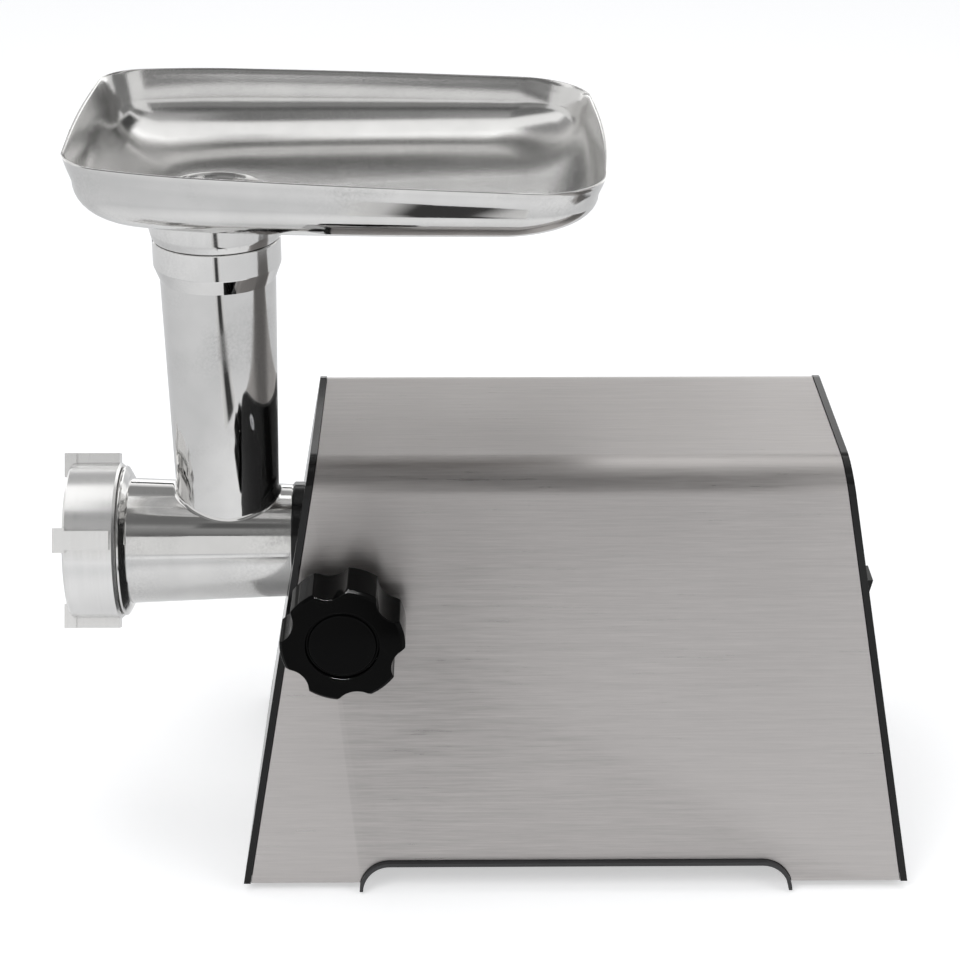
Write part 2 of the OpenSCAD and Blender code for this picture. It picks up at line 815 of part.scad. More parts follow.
module knob_cap() {
  color([0.06, 0.06, 0.06]) placed() translate([lock_x, knob_back_y - knob_t + 2.4, axis_h])
    rotate([90, 0, 0]) union() {
      cylinder(d = knob_face_d - 2 * fixed_gap, h = 1);
      translate([0, 0, 1]) cylinder(d = cap_d, h = 0.7);
      translate([0, 0, 1.7]) cylinder(d1 = cap_d, d2 = cap_d - 0.8, h = 0.4);
    }
}

// ---- grinding head ----

// Everything between two leaning cylinders, one in front of the throat's axis
// and one behind it, that leave the depth 2 * low at z0 and 2 * high at z1.
module both_flanks(low, high, r, z0, z1) {
  lean = atan2(high - low, z1 - z0);
  intersection_for (s = [0, 1]) mirror([0, s, 0]) translate([0, -low, z0]) rotate([lean, 0, 0])
    translate([0, r, -60]) cylinder(r = r, h = 220);
}

// Cone on the throat's axis, slimmed front and back towards the barrel.
module throat_cone(r_low, r_high, z1, slim, side_r) {
  intersection() {
    union() {
      translate([0, 0, axis_h]) cylinder(r = r_low, h = throat_low_z - axis_h + 0.01);
      translate([0, 0, throat_low_z]) cylinder(r1 = r_low, r2 = r_high, h = z1 - throat_low_z);
    }
    both_flanks(slim, r_high + 1.5, side_r, axis_h + 14.1, axis_h + 112.1);
  }
}

module grinder_head() {
  low_r = throat_low_d / 2;
  slim = throat_low_dep / 2;
  bevel = 1;
  edge = 0.4;
  color("gainsboro") placed() difference() {
    union() {
      rod_x(barrel_x, neck_end_x - bevel, neck_d, out_at);
      cone_x(neck_end_x - bevel, neck_end_x, neck_d, neck_d - 2 * bevel, out_at);
      cone_x(flange_x, barrel_x, barrel_front_d, barrel_rear_d, out_at);
      cone_x(flange_x - bevel, flange_x, flange_d, flange_d - 2 * bevel, out_at);
      rod_x(flange_x - flange_t + bevel, flange_x - bevel, flange_d, out_at);
      cone_x(flange_x - flange_t, flange_x - flange_t + bevel, flange_d - 2 * bevel, flange_d, out_at);
      rod_x(thread_end_x, flange_x, thread_d, out_at);
      translate([throat_x, 0, 0]) throat_cone(low_r, throat_top_d / 2, collar_z, slim, 30);
      translate([throat_x, 0, collar_z]) cylinder(d1 = throat_top_d, d2 = collar_d, h = collar_bevel);
      translate([throat_x, 0, collar_z + collar_bevel]) cylinder(d = collar_d, h = collar_h - edge);
      translate([throat_x, 0, collar_top - edge]) cylinder(d1 = collar_d, d2 = collar_d - 2 * edge, h = edge);
    }
    // Auger chamber, bush hole, hollow neck and plate seat
    rod_x(thread_end_x - 1, chamber_end_x, chamber_d, out_at);
    rod_x(thread_end_x - 1, plate_rear_x, plate_d + 2 * move_gap, out_at);
    rod_x(chamber_end_x - 1, neck_step_x + 1, hex_af + 4 + 2 * run_fit, out_at);
    rod_x(neck_step_x, neck_end_x + 1, neck_d - 2 * neck_t, out_at);
    // Feed throat
    translate([throat_x, 0, 0])
      throat_cone(low_r - throat_t, feed_d / 2, collar_floor + 0.01, slim - throat_t, 26);
    translate([throat_x, 0, collar_floor]) cylinder(d = collar_bore, h = collar_h + 20);
  }
  // Key that stops the grinding plate from turning
  color("gainsboro") placed() translate([thread_end_x, -key_d / 2, axis_h + plate_d / 2 - key_deep])
    cube([plate_rear_x - thread_end_x, key_d, key_deep + move_gap + 0.5]);
}

module ring_nut() {
  bevel = 1;
  bore = thread_d + 2 * move_gap;
  color("whitesmoke") placed() difference() {
    union() {
      rod_x(ring_front_x + bevel, ring_rear_x - bevel, ring_d, out_at);
      cone_x(ring_front_x, ring_front_x + bevel, ring_d - 2 * bevel, ring_d, out_at);
      cone_x(ring_rear_x - bevel, ring_rear_x, ring_d, ring_d - 2 * bevel, out_at);
      for (i = [0:3]) translate([0, 0, axis_h]) rotate([lug_turn + 90 * i, 0, 0]) {
        translate([ring_front_x - tab_t / 2, -lug_w / 2, ring_d / 2 - 3])
          cube([ring_len + tab_t / 2 - 1.5, lug_w, lug_d / 2 - ring_d / 2 + 3]);
        translate([tab_x, -tab_w / 2, lug_d / 2 - tab_in]) cube([tab_t + 2, tab_w, tab_in]);
      }
    }
    rod_x(ring_front_x + ring_lip, ring_rear_x + 1, bore, out_at);
    rod_x(tab_x - 1, ring_rear_x, ring_open_d, out_at);
  }
}

function ring_of(count, r) = [for (i = [0:count - 1]) r * [cos(i * 360 / count), sin(i * 360 / count)]];

module grinding_plate() {
  holes = concat(ring_of(7, 9.2), ring_of(13, 15.2), ring_of(20, 21));
  color("darkgray") placed() difference() {
    rod_x(plate_front_x, plate_rear_x, plate_d, out_at);
    rod_x(plate_front_x - 1, plate_rear_x + 1, stud_d + 2 * run_fit, out_at);
    for (p = holes) rod_x(plate_front_x - 1, plate_rear_x + 1, plate_hole_d, out_at + p);
    translate([plate_front_x - 1, -key_d / 2 - move_gap, axis_h + plate_d / 2 - key_deep - move_gap])
      cube([plate_t + 2, key_d + 2 * move_gap, 5]);
  }
}

module cutting_blade() {
  arm_w = 8;
  color("silver") placed() along_x(blade_front_x, blade_rear_x) translate(out_at) difference() {
    intersection() {
      circle(d = blade_d);
      union() {
        for (a = [0, 90]) rotate(a) translate([-blade_d, -arm_w / 2]) square([2 * blade_d, arm_w]);
        circle(d = 17);
      }
    }
    square(square_w + 2 * fixed_gap, center = true);
  }
}

// The flight is one tooth that winds round the core.
module auger() {
  tooth_w = 5.5;
  color("lightgray") placed() translate([auger_rear_x, 0, axis_h]) rotate([0, -90, 0])
    linear_extrude(auger_rear_x - auger_front_x, twist = -360 * auger_turns, slices = 60, $fn = 24)
      union() {
        circle(d = core_d, $fn = 24);
        intersection() {
          circle(d = auger_d, $fn = 48);
          translate([0, -tooth_w / 2]) square([auger_d, tooth_w]);
        }
      }
}

module auger_stud() {
  color("silver") placed() union() {
    rod_x(plate_front_x, blade_front_x, stud_d, out_at);
    translate([blade_front_x, -square_w / 2, axis_h - square_w / 2])
      cube([auger_front_x - blade_front_x, square_w, square_w]);
  }
}

module auger_washer() {
  color("ivory") placed()
    tube_x(auger_rear_x, auger_rear_x + washer_t, core_d + 12, hex_af + 4 + 2 * fixed_gap, out_at);
}

module auger_drive() {
  color("dimgray") placed() union() {
    rod_x(auger_rear_x, neck_step_x + 0.5, hex_af + 4, out_at);
    translate([neck_step_x, 0, axis_h]) rotate([0, 90, 0])
      cylinder(d = hex_af / cos(30), h = hex_end_x - neck_step_x - move_gap, $fn = 6);
  }
}

// ---- feed tray ----

// Arc that rounds the corner b between a and c, as n points. A radius of 0
// stands for the widest arc that the two neighbouring edges leave room for.
function round_corner(a, b, c, r, n) =
  let (
    u = unit(a - b), w = unit(c - b),
    half = acos(u * w) / 2,
    wide = 0.45 * min(norm(a - b), norm(c - b)) * tan(half),
    round_r = r > 0 ? r : wide,
    mid = unit(u + w),
    centre = b + mid * (round_r / sin(half)),
    start = atan2(-mid[1], -mid[0]),
    side = cross([u[0], u[1], 0], [w[0], w[1], 0])[2] > 0 ? -1 : 1,
    sweep = 180 - 2 * half
  )
  [for (i = [0:n - 1]) let (t = start + side * (i / (n - 1) - 0.5) * sweep)
    centre + round_r * [cos(t), sin(t)]];

// Closed outline through corners [x, y, r].
function tray_path(v, n) = [
  for (i = [0:len(v) - 1]) let (
    a = v[(i + len(v) - 1) % len(v)], b = v[i], c = v[(i + 1) % len(v)]
  ) each round_corner([a[0], a[1]], [b[0], b[1]], [c[0], c[1]], b[2], n)
];

tray_out_x = throat_x - tray_over;
tray_in_x = tray_out_x + tray_len;
tray_bulge = 2.8;
tray_waist = 5;
pan_hole_d = feed_d - 5.2;

// Corners of the rim, shrunk towards the middle by a distance, as [x, y, r].
function tray_corners(d, out_r, in_r) =
  let (
    x0 = tray_out_x + d, x1 = tray_in_x - d,
    xa = lerp(x0, x1, 0.19), xb = lerp(x0, x1, 0.53),
    ya = tray_half_in - tray_waist - d, yb = tray_half_in - 0.6 - d
  )
  [
    [x0, 0, 0], [x0 + tray_bulge, d - tray_half_out, out_r], [xa, -ya, 0], [xb, -yb, 0],
    [x1 - 2 * tray_bulge, d - tray_half_in, in_r], [x1, 0, 0],
    [x1 - 2 * tray_bulge, tray_half_in - d, in_r], [xb, yb, 0], [xa, ya, 0],
    [x0 + tray_bulge, tray_half_out - d, out_r]
  ];

corner_steps = 7;
bowl_steps = 7;
rim_path = tray_path(tray_corners(0, rim_out_r, rim_in_r), corner_steps);
floor_path = tray_path(tray_corners(bowl_w, 16, 22), corner_steps);
ring_size = len(rim_path);

function rim_at(x) = rim_z - rim_slope * (x - throat_x);

// Share of the way in and share of the way down, from the rim to the floor.
tray_steps = concat(
  [[0, 0], [0.05, 0.18], [0.1, 0.34]],
  [for (i = [1:bowl_steps]) let (a = 90 * i / bowl_steps)
    [0.1 + 0.9 * (1 - cos(a)), 0.34 + 0.66 * sin(a)]]
);

// One closed ring of the tray: inner is 0 on the outside and 1 on the inside.
function tray_ring(step, inner) = [
  for (i = [0:ring_size - 1]) let (
    in_dir = unit(floor_path[i] - rim_path[i]),
    p = lerp(rim_path[i], floor_path[i], step[0]) + in_dir * tray_t * inner * (1 - step[0]),
    high = rim_at(p[0])
  ) [p[0], p[1], lerp(high, floor_z + tray_t * inner, step[1])]
];

function hole_ring(inner) = [
  for (i = [0:ring_size - 1]) let (d = unit(floor_path[i] - [throat_x, 0]))
    [throat_x + d[0] * pan_hole_d / 2, d[1] * pan_hole_d / 2, floor_z + tray_t * inner]
];

module tray_pan() {
  outside = [for (s = tray_steps) tray_ring(s, 0)];
  inside = [for (i = [len(tray_steps) - 1:-1:0]) tray_ring(tray_steps[i], 1)];
  rings = concat(outside, [hole_ring(0), hole_ring(1)], inside);
  n = ring_size;
  points = [for (r = rings) each r];
  faces = [
    for (k = [0:len(rings) - 1], i = [0:n - 1]) let (
      k2 = (k + 1) % len(rings), j = (i + 1) % n
    ) each [[k * n + i, k * n + j, k2 * n + j], [k * n + i, k2 * n + j, k2 * n + i]]
  ];
  color("gainsboro") placed() polyhedron(points, faces);
}

module tray_neck() {
  plug_d = collar_bore - 2 * move_gap;
  seat_z = collar_top + move_gap;
  flare = 4;
  wide_d = collar_d + 2;
  color("silver") placed() translate([throat_x, 0, 0]) difference() {
    union() {
      translate([0, 0, collar_top - plug_h]) cylinder(d = plug_d, h = plug_h + 1);
      translate([0, 0, seat_z]) cylinder(d1 = collar_d, d2 = wide_d, h = flare);
      translate([0, 0, seat_z + flare])
        cylinder(d = wide_d, h = floor_z - seat_z - flare - fixed_gap);
    }
    translate([0, 0, collar_top - plug_h - 1]) cylinder(d = feed_d, h = 80);
  }
}

// ---- gears ----

function tip_r(m, z) = m * (z / 2 + add_k);
function root_r(m, z) = m * (z / 2 - ded_k);
function base_r(m, z) = m * z / 2 * cos(pressure);
function inv(a) = tan(a) * 180 / PI - a;

// Half the angle that a tooth spans at a radius.
function half_tooth(m, z, r) =
  90 / z - backlash / 2 / (m * z) * 180 / PI + inv(pressure) - inv(acos(min(1, base_r(m, z) / r)));

// Angle of a gear that meshes with another one lying in direction dir from it.
function mesh_turn(turn, teeth, next_teeth, dir) =
  dir + 180 - 360 / next_teeth * (0.5 - (dir - turn) * teeth / 360);

function gear_points(m, z) =
  let (
    low = max(root_r(m, z), base_r(m, z)), high = tip_r(m, z), n = 4,
    flank = [for (k = [0:n]) let (r = lerp(low, high, k / n)) [r, half_tooth(m, z, r)]],
    root = root_r(m, z), root_half = half_tooth(m, z, low)
  )
  [for (i = [0:z - 1]) let (mid = i * 360 / z) each concat(
    [root * [cos(mid - root_half), sin(mid - root_half)]],
    [for (f = flank) f[0] * [cos(mid - f[1]), sin(mid - f[1])]],
    [for (k = [n:-1:0]) flank[k][0] * [cos(mid + flank[k][1]), sin(mid + flank[k][1])]],
    [root * [cos(mid + root_half), sin(mid + root_half)]]
  )];

module gear(m, z, w, x, bore, at, turn) {
  along_x(x, x + w) translate(at) difference() {
    rotate(turn) polygon(gear_points(m, z));
    circle(d = bore);
  }
}

// A wheel with a sunk web on both faces, and a row of holes.
module wheel(m, z, w, x, bore, hub, at, turn, web_holes) {
  rim_in = 2 * root_r(m, z) - 7 * m;
  sink = w * 0.28;
  hole_d = (rim_in - hub) / 2 * 0.6;
  difference() {
    gear(m, z, w, x, bore, at, turn);
    for (x0 = [x - 1, x + w - sink]) tube_x(x0, x0 + sink + 1, rim_in, hub, at);
    for (i = [0:web_holes - 1]) let (a = i * 360 / web_holes)
      rod_x(x - 1, x + w + 1, hole_d, at + (rim_in + hub) / 4 * [cos(a), sin(a)]);
  }
}

module output_gear() {
  color("lightgray") placed() wheel(out_module, out_teeth, out_gear_w, out_gear_x,
    out_shaft_d + shaft_fit, out_shaft_d + 14, out_at, out_turn, 6);
}

module middle_gear() {
  color("silver") placed() wheel(mid_module, mid_teeth, mid_gear_w, mid_gear_x,
    mid_shaft_d + shaft_fit, mid_shaft_d + 12, mid_at, mid_turn, 5);
}

module middle_pinion() {
  color("gray") placed() gear(out_module, out_pinion_teeth, out_gear_w + 2, out_gear_x - 1,
    mid_shaft_d + shaft_fit, mid_at, mid_turn);
}

module first_gear() {
  color("ivory") placed() wheel(in_module, in_teeth, in_gear_w, in_gear_x,
    mid_shaft_d + shaft_fit, mid_shaft_d + 12, first_at, first_turn, 5);
}

module first_pinion() {
  color("gray") placed() gear(mid_module, mid_pinion_teeth, mid_gear_w + 2, mid_gear_x - 1,
    mid_shaft_d + shaft_fit, first_at, first_turn);
}

module motor_pinion() {
  color("gray") placed() gear(in_module, in_pinion_teeth, in_gear_w + 1, in_gear_x - 1,
    pinion_bore + shaft_fit, motor_at, motor_turn);
}

// ---- gearbox ----

module box_outline(grow) {
  translate(out_at) circle(r = out_rad + grow);
  translate(mid_at) circle(r = mid_rad + grow);
  translate(first_at) circle(r = first_rad + grow);
}

ear_d = 10;
cover_screw_d = 3.5;
cover_screw_len = 14;

function spot_at(at, r, a) = at + (r + box_t + 1) * [cos(a), sin(a)];

// Places of the screws that hold the gearbox cover.
function cover_spots() = [
  spot_at(out_at, out_rad, 18), spot_at(out_at, out_rad, 90), spot_at(out_at, out_rad, 162),
  spot_at(mid_at, mid_rad, -35), spot_at(first_at, first_rad, 215)
];

module box_ears() {
  for (p = cover_spots()) translate(p) circle(d = ear_d);
}

module gearbox_housing() {
  nose_d = bearing_d + 5;
  bush_d = mid_shaft_d + 2 * bush_wall;
  color("silver") placed() difference() {
    union() {
      along_x(box_x, cover_x) {
        box_outline(box_t);
        box_ears();
      }
      rod_x(box_x - nose_len, box_x, nose_d, out_at);
      for (p = [mid_at, first_at]) rod_x(box_x - boss_x, box_x, bush_d + 6, p);
      // Foot and its two ribs
      translate([gear_foot_x, -gear_foot_y - 8, gear_foot_z])
        cube([gear_foot_w, 2 * gear_foot_y + 16, 4]);
      for (y = [-24, 12]) translate([gear_foot_x + 4, y, gear_foot_z])
        cube([gear_foot_w - 8, 8, first_at[1] - first_rad * 0.8 - gear_foot_z]);
    }
    along_x(box_x + box_wall, cover_x + 1) box_outline(0);
    rod_x(box_x - nose_len + 1, box_x + box_wall + 1, bearing_d + shaft_fit, out_at);
    rod_x(box_x - nose_len - 1, box_x, out_shaft_d + 5, out_at);
    for (p = [mid_at, first_at]) rod_x(box_x - boss_x + 2, box_x + box_wall + 1, bush_d + shaft_fit, p);
    for (p = cover_spots()) rod_x(cover_x - cover_screw_len, cover_x + 1, cover_screw_d + shaft_fit, p);
    for (i = [0, 1]) let (p = post_spots()[i]) translate([p[0], p[1], gear_foot_z - 1])
      cylinder(d = foot_screw_d + 2 * fixed_gap, h = 6);
  }
}

module gearbox_cover() {
  bush_d = mid_shaft_d + 2 * bush_wall;
  out_bush_d = out_shaft_d + 2 * bush_wall;
  bolt_post = 10;
  color("silver") placed() difference() {
    union() {
      along_x(cover_x, cover_end_x) {
        box_outline(box_t);
        box_ears();
      }
      rod_x(cover_x, cover_end_x + boss_x, out_bush_d + 6, out_at);
      for (p = [mid_at, first_at]) rod_x(cover_x, cover_end_x + boss_x, bush_d + 6, p);
      for (s = [-1, 1]) rod_x(cover_x, front_bracket_x, bolt_post, motor_at + [s * motor_bolt_y, 0]);
    }
    rod_x(cover_x - 1, cover_end_x + boss_x - 2, out_bush_d + shaft_fit, out_at);
    for (p = [mid_at, first_at]) rod_x(cover_x - 1, cover_end_x + boss_x - 2, bush_d + shaft_fit, p);
    rod_x(cover_x - 1, cover_end_x + boss_x + 1, motor_shaft_d + 3, motor_at);
    for (p = cover_spots()) rod_x(cover_x - 1, cover_end_x + 1, cover_screw_d + 2 * fixed_gap, p);
    for (s = [-1, 1]) rod_x(cover_end_x - 1, front_bracket_x + 1, motor_bolt_d + shaft_fit,
      motor_at + [s * motor_bolt_y, 0]);
  }
}

module cover_screws() {
  head_h = 2.2;
  color("dimgray") placed() for (p = cover_spots())
    translate([cover_end_x + head_h, p[0], p[1]]) rotate([0, 90, 0])
      screw(cover_screw_d, cover_screw_len, 7, head_h);
}

module output_bearing() {
  race = 3;
  x0 = box_x - nose_len + 1;
  mid_d = (bearing_d + out_shaft_d) / 2;
  color("lightgray") placed() difference() {
    tube_x(x0, x0 + bearing_w, bearing_d, out_shaft_d + 2 * run_fit, out_at);
    for (x = [x0 - 1, x0 + bearing_w - 1])
      tube_x(x, x + 2, bearing_d - 2 * race, out_shaft_d + 2 * race, out_at);
  }
}

// Four short bushes for the middle shafts and one for the output shaft.
module shaft_bushes() {
  bush_d = mid_shaft_d + 2 * bush_wall;
  bore = mid_shaft_d + 2 * run_fit;
  color("goldenrod") placed() {
    for (p = [mid_at, first_at]) {
      tube_x(box_x - boss_x + 2, box_x - boss_x + 2 + bush_len, bush_d, bore, p);
      tube_x(cover_x, cover_x + bush_len, bush_d, bore, p);
    }
    tube_x(cover_x, cover_x + bush_len, out_shaft_d + 2 * bush_wall, out_shaft_d + 2 * run_fit, out_at);
  }
}

module output_shaft() {
  color("silver") placed() rod_x(hex_end_x + 1, cover_x + bush_len - move_gap, out_shaft_d, out_at);
}

module middle_shaft() {
  color("silver") placed()
    rod_x(box_x - boss_x + 2 + move_gap, cover_x + bush_len - move_gap, mid_shaft_d, mid_at);
}

module first_shaft() {
  color("silver") placed()
    rod_x(box_x - boss_x + 2 + move_gap, cover_x + bush_len - move_gap, mid_shaft_d, first_at);
}

// A cup with a hexagon socket for the auger and a round socket for the shaft.
module drive_coupler() {
  color("gray") placed() difference() {
    rod_x(coupler_x, coupler_end_x, coupler_d, out_at);
    rod_x(hex_end_x + 1, coupler_end_x + 1, out_shaft_d + shaft_fit, out_at);
    translate([coupler_x - 1, 0, axis_h]) rotate([0, 90, 0])
      cylinder(d = (hex_af + 2 * move_gap) / cos(30), h = hex_end_x - coupler_x + 1, $fn = 6);
  }
}

// ---- motor ----

module soft_box(w, h, r) {
  union() {
    square([w - 2 * r, h], center = true);
    square([w, h - 2 * r], center = true);
    for (x = [-1, 1], y = [-1, 1]) translate([x * (w / 2 - r), y * (h / 2 - r)]) circle(r = r);
  }
}

function bolt_at(s) = motor_at + [s * motor_bolt_y, 0];

module bracket(x) {
  boss_len = motor_bearing_w + 1;
  difference() {
    union() {
      along_x(x, x + bracket_t) translate(motor_at) soft_box(stator_w, 44, 8);
      rod_x(x, x + boss_len, motor_bearing_d + 5, motor_at);
    }
    rod_x(x + 1, x + boss_len + 1, motor_bearing_d + shaft_fit, motor_at);
    rod_x(x - 1, x + 2, motor_shaft_d + 3, motor_at);
    for (s = [-1, 1]) rod_x(x - 1, x + bracket_t + 1, motor_bolt_d + 2 * fixed_gap, bolt_at(s));
    for (a = [45:90:315]) rod_x(x - 1, x + bracket_t + 1, 7, motor_at + 19 * [cos(a), sin(a)]);
  }
}

module motor_front_bracket() {
  color("lightgray") placed() bracket(front_bracket_x);
}

module motor_rear_bracket() {
  foot_len = 15;
  color("lightgray") placed() difference() {
    union() {
      bracket(rear_bracket_x);
      translate([rear_bracket_x, motor_at[0] - 27, motor_foot_z]) cube([foot_len, 54, bracket_t]);
      translate([rear_bracket_x, motor_at[0] - 27, motor_foot_z])
        cube([bracket_t, 54, motor_at[1] - 20 - motor_foot_z]);
    }
    for (i = [2, 3]) let (p = post_spots()[i]) translate([p[0], p[1], motor_foot_z - 1])
      cylinder(d = foot_screw_d + 2 * fixed_gap, h = bracket_t + 2);
  }
}

module motor_bolts() {
  head_h = 3;
  spacer_d = 8;
  color("gray") placed() for (s = [-1, 1]) {
    rod_x(cover_end_x + 1, rear_bracket_x + bracket_t + head_h, motor_bolt_d, bolt_at(s));
    rod_x(rear_bracket_x + bracket_t, rear_bracket_x + bracket_t + head_h, 7.5, bolt_at(s));
    tube_x(front_bracket_x + bracket_t, stack_x, spacer_d, motor_bolt_d - 0.01, bolt_at(s));
    tube_x(stack_end_x, rear_bracket_x, spacer_d, motor_bolt_d - 0.01, bolt_at(s));
  }
}

module motor_bearings() {
  color("lightgray") placed() for (x = [front_bracket_x + 1, rear_bracket_x + 1])
    tube_x(x, x + motor_bearing_w, motor_bearing_d, motor_shaft_d + 2 * run_fit, motor_at);
}

coil_side_y = stator_bore / 2 + 3;
coil_side_w = 7;
coil_side_h = 12;
coil_gap = 2;

module stator_stack() {
  slot_w = coil_side_w + 2 * fixed_gap;
  slot_h = 2 * (coil_side_h + coil_gap + fixed_gap);
  color("dimgray") placed() along_x(stack_x, stack_end_x) translate(motor_at) difference() {
    soft_box(stator_w, stator_h, 10);
    circle(d = stator_bore);
    for (s = [-1, 1]) translate([s * (coil_side_y + coil_side_w / 2), 0])
      square([slot_w, slot_h], center = true);
    for (s = [-1, 1]) translate([s * motor_bolt_y, 0]) circle(d = motor_bolt_d + 2 * fixed_gap);
  }
}

// Each coil runs along the stack on both sides and crosses over its pole.
module field_coils() {
  cross_z = stator_bore / 2 + 1;
  cross_h = 8;
  wide = 2 * (coil_side_y + coil_side_w);
  color([0.7, 0.35, 0.15]) placed() translate([0, motor_at[0], motor_at[1]]) for (s = [0, 1])
    mirror([0, 0, s]) {
      for (t = [0, 1]) mirror([0, t, 0]) translate([stack_x - coil_len, coil_side_y, coil_gap])
        cube([stack_len + 2 * coil_len, coil_side_w, coil_side_h]);
      for (x = [stack_x - coil_len, stack_end_x + 1]) {
        translate([x, -wide / 2, cross_z]) cube([coil_len - 1, wide, cross_h]);
        for (t = [0, 1]) mirror([0, t, 0]) translate([x, coil_side_y, coil_gap])
          cube([coil_len - 1, coil_side_w, cross_z - coil_gap + 1]);
      }
    }
}

armature_x = stack_x + 1;
armature_end_x = stack_end_x - 1;
slots = 12;

module armature_core() {
  color("gray") placed() along_x(armature_x, armature_end_x) translate(motor_at) difference() {
    circle(d = armature_d);
    circle(d = motor_shaft_d + shaft_fit);
    for (i = [0:slots - 1]) rotate(i * 360 / slots) {
      translate([armature_d / 2 - 4, -1]) square([5, 2]);
      translate([armature_d / 2 - 5.5, 0]) circle(d = 5);
    }
  }
}

// Rounded ends of the windings on both sides of the core.
module armature_windings() {
  wound_r = armature_d / 2 - 2.5;
  bore_r = (motor_shaft_d + shaft_fit) / 2;
  head_len = 7;
  soft = 2.5;
  color([0.65, 0.3, 0.12]) placed() for (e = [0, 1])
    translate([e == 0 ? armature_x : armature_end_x, motor_at[0], motor_at[1]])
      rotate([0, e == 0 ? -90 : 90, 0]) rotate_extrude() union() {
        translate([bore_r, 0]) square([wound_r - bore_r, head_len - soft]);
        translate([bore_r, 0]) square([wound_r - bore_r - soft, head_len]);
        translate([wound_r - soft, head_len - soft]) circle(r = soft);
      }
}

module motor_shaft() {
  step_x = in_gear_x + in_gear_w + 0.5;
  color("silver") placed() union() {
    rod_x(in_gear_x - 1, step_x, pinion_bore, motor_at);
    rod_x(step_x, shaft_end_x, motor_shaft_d, motor_at);
  }
}

module commutator() {
  bars = 24;
  color([0.75, 0.42, 0.2]) placed() difference() {
    tube_x(commutator_x, commutator_x + commutator_len, commutator_d, motor_shaft_d + shaft_fit, motor_at);
    for (i = [0:bars - 1]) translate([commutator_x - 1, motor_at[0], motor_at[1]])
      rotate([i * 360 / bars, 0, 0]) translate([0, -0.3, commutator_d / 2 - 0.8])
        cube([commutator_len + 2, 0.6, 2]);
  }
}

module cooling_fan() {
  hub = motor_shaft_d + 9;
  plate = 1.6;
  color([0.15, 0.15, 0.16]) placed() difference() {
    union() {
      rod_x(fan_x, fan_x + plate, fan_d, motor_at);
      rod_x(fan_x, fan_x + fan_len, hub, motor_at);
      for (i = [0:fan_blades - 1]) translate([fan_x, motor_at[0], motor_at[1]])
        rotate([i * 360 / fan_blades, 0, 0]) translate([0, -0.7, fan_d / 4])
          cube([fan_len, 1.4, fan_d / 4 - 0.5]);
    }
    rod_x(fan_x - 1, fan_x + fan_len + 1, motor_shaft_d + shaft_fit, motor_at);
  }
}

brush_x = commutator_x + commutator_len / 2;
brush_in = commutator_d / 2 + move_gap;
brush_len = 13;
holder_in = commutator_d / 2 + 3;
holder_len = 14;
holder_wall = 2;

module brush_holders() {
  color([0.2, 0.14, 0.1]) placed() translate([brush_x, motor_at[0], motor_at[1]]) for (t = [0, 1])
    mirror([0, t, 0]) difference() {
      translate([-brush_w / 2 - holder_wall, holder_in, -brush_h / 2 - holder_wall])
        cube([rear_bracket_x - brush_x + brush_w / 2 + holder_wall, holder_len, brush_h + 2 * holder_wall]);
      translate([-brush_w / 2 - fixed_gap, holder_in - 1, -brush_h / 2 - fixed_gap])
        cube([brush_w + 2 * fixed_gap, holder_len + 2, brush_h + 2 * fixed_gap]);
    }
}

module carbon_brushes() {
  color([0.12, 0.12, 0.12]) placed() translate([brush_x, motor_at[0], motor_at[1]]) for (t = [0, 1])
    mirror([0, t, 0]) translate([-brush_w / 2, brush_in, -brush_h / 2])
      cube([brush_w, brush_len, brush_h]);
}

// ---- electrics ----

board_t = 1.6;

module control_board() {
  color([0.1, 0.35, 0.18]) placed() difference() {
    translate([board_x, board_y0, board_z]) cube([board_len, board_w, board_t]);
    translate([board_x + board_len / 2, board_y0 + board_w / 2, board_z - 1]) cylinder(d = 3, h = 4);
  }
}

board_edge = 3;
film_len = 26;
film_w = 10;
film_h = 16;
relay_len = 14;
relay_w = 12;
fin_t = 4;
fin_w = 20;
fin_h = 18;
can_d = 10;
part_gap = 5;

// A film capacitor, a relay, a bridge with its fin and an electrolytic can.
module board_parts() {
  top = board_z + board_t;
  relay_y = board_y0 + board_edge + 1 + film_w + part_gap;
  fin_x = board_x + board_edge + relay_len + part_gap;
  color([0.85, 0.75, 0.2]) placed() {
    translate([board_x + board_edge, board_y0 + board_edge + 1, top]) cube([film_len, film_w, film_h]);
    translate([board_x + board_edge, relay_y, top]) cube([relay_len, relay_w, relay_len]);
    translate([fin_x, relay_y + 1, top]) cube([fin_t, fin_w, fin_h]);
    translate([board_x + can_d + 1, relay_y + relay_w + can_d / 2 + board_edge, top])
      cylinder(d = can_d, h = film_h);
  }
}

module terminal_block() {
  poles = 3;
  pitch = 8;
  x0 = arch_len / 2 + 6.64;
  low = floor_low + base_t;
  color([0.9, 0.9, 0.86]) placed() difference() {
    translate([x0, 14, low]) cube([16, poles * pitch, 14]);
    for (i = [0:poles - 1]) translate([0, 14 + (i + 0.5) * pitch, 0]) {
      translate([x0 + 5, 0, low + 6]) cylinder(d = 4, h = 20);
      translate([x0 + 11, 0, low + 6]) cylinder(d = 4, h = 20);
      translate([x0 - 1, 0, low + 4]) rotate([0, 90, 0]) cylinder(d = 3, h = 18);
    }
  }
}

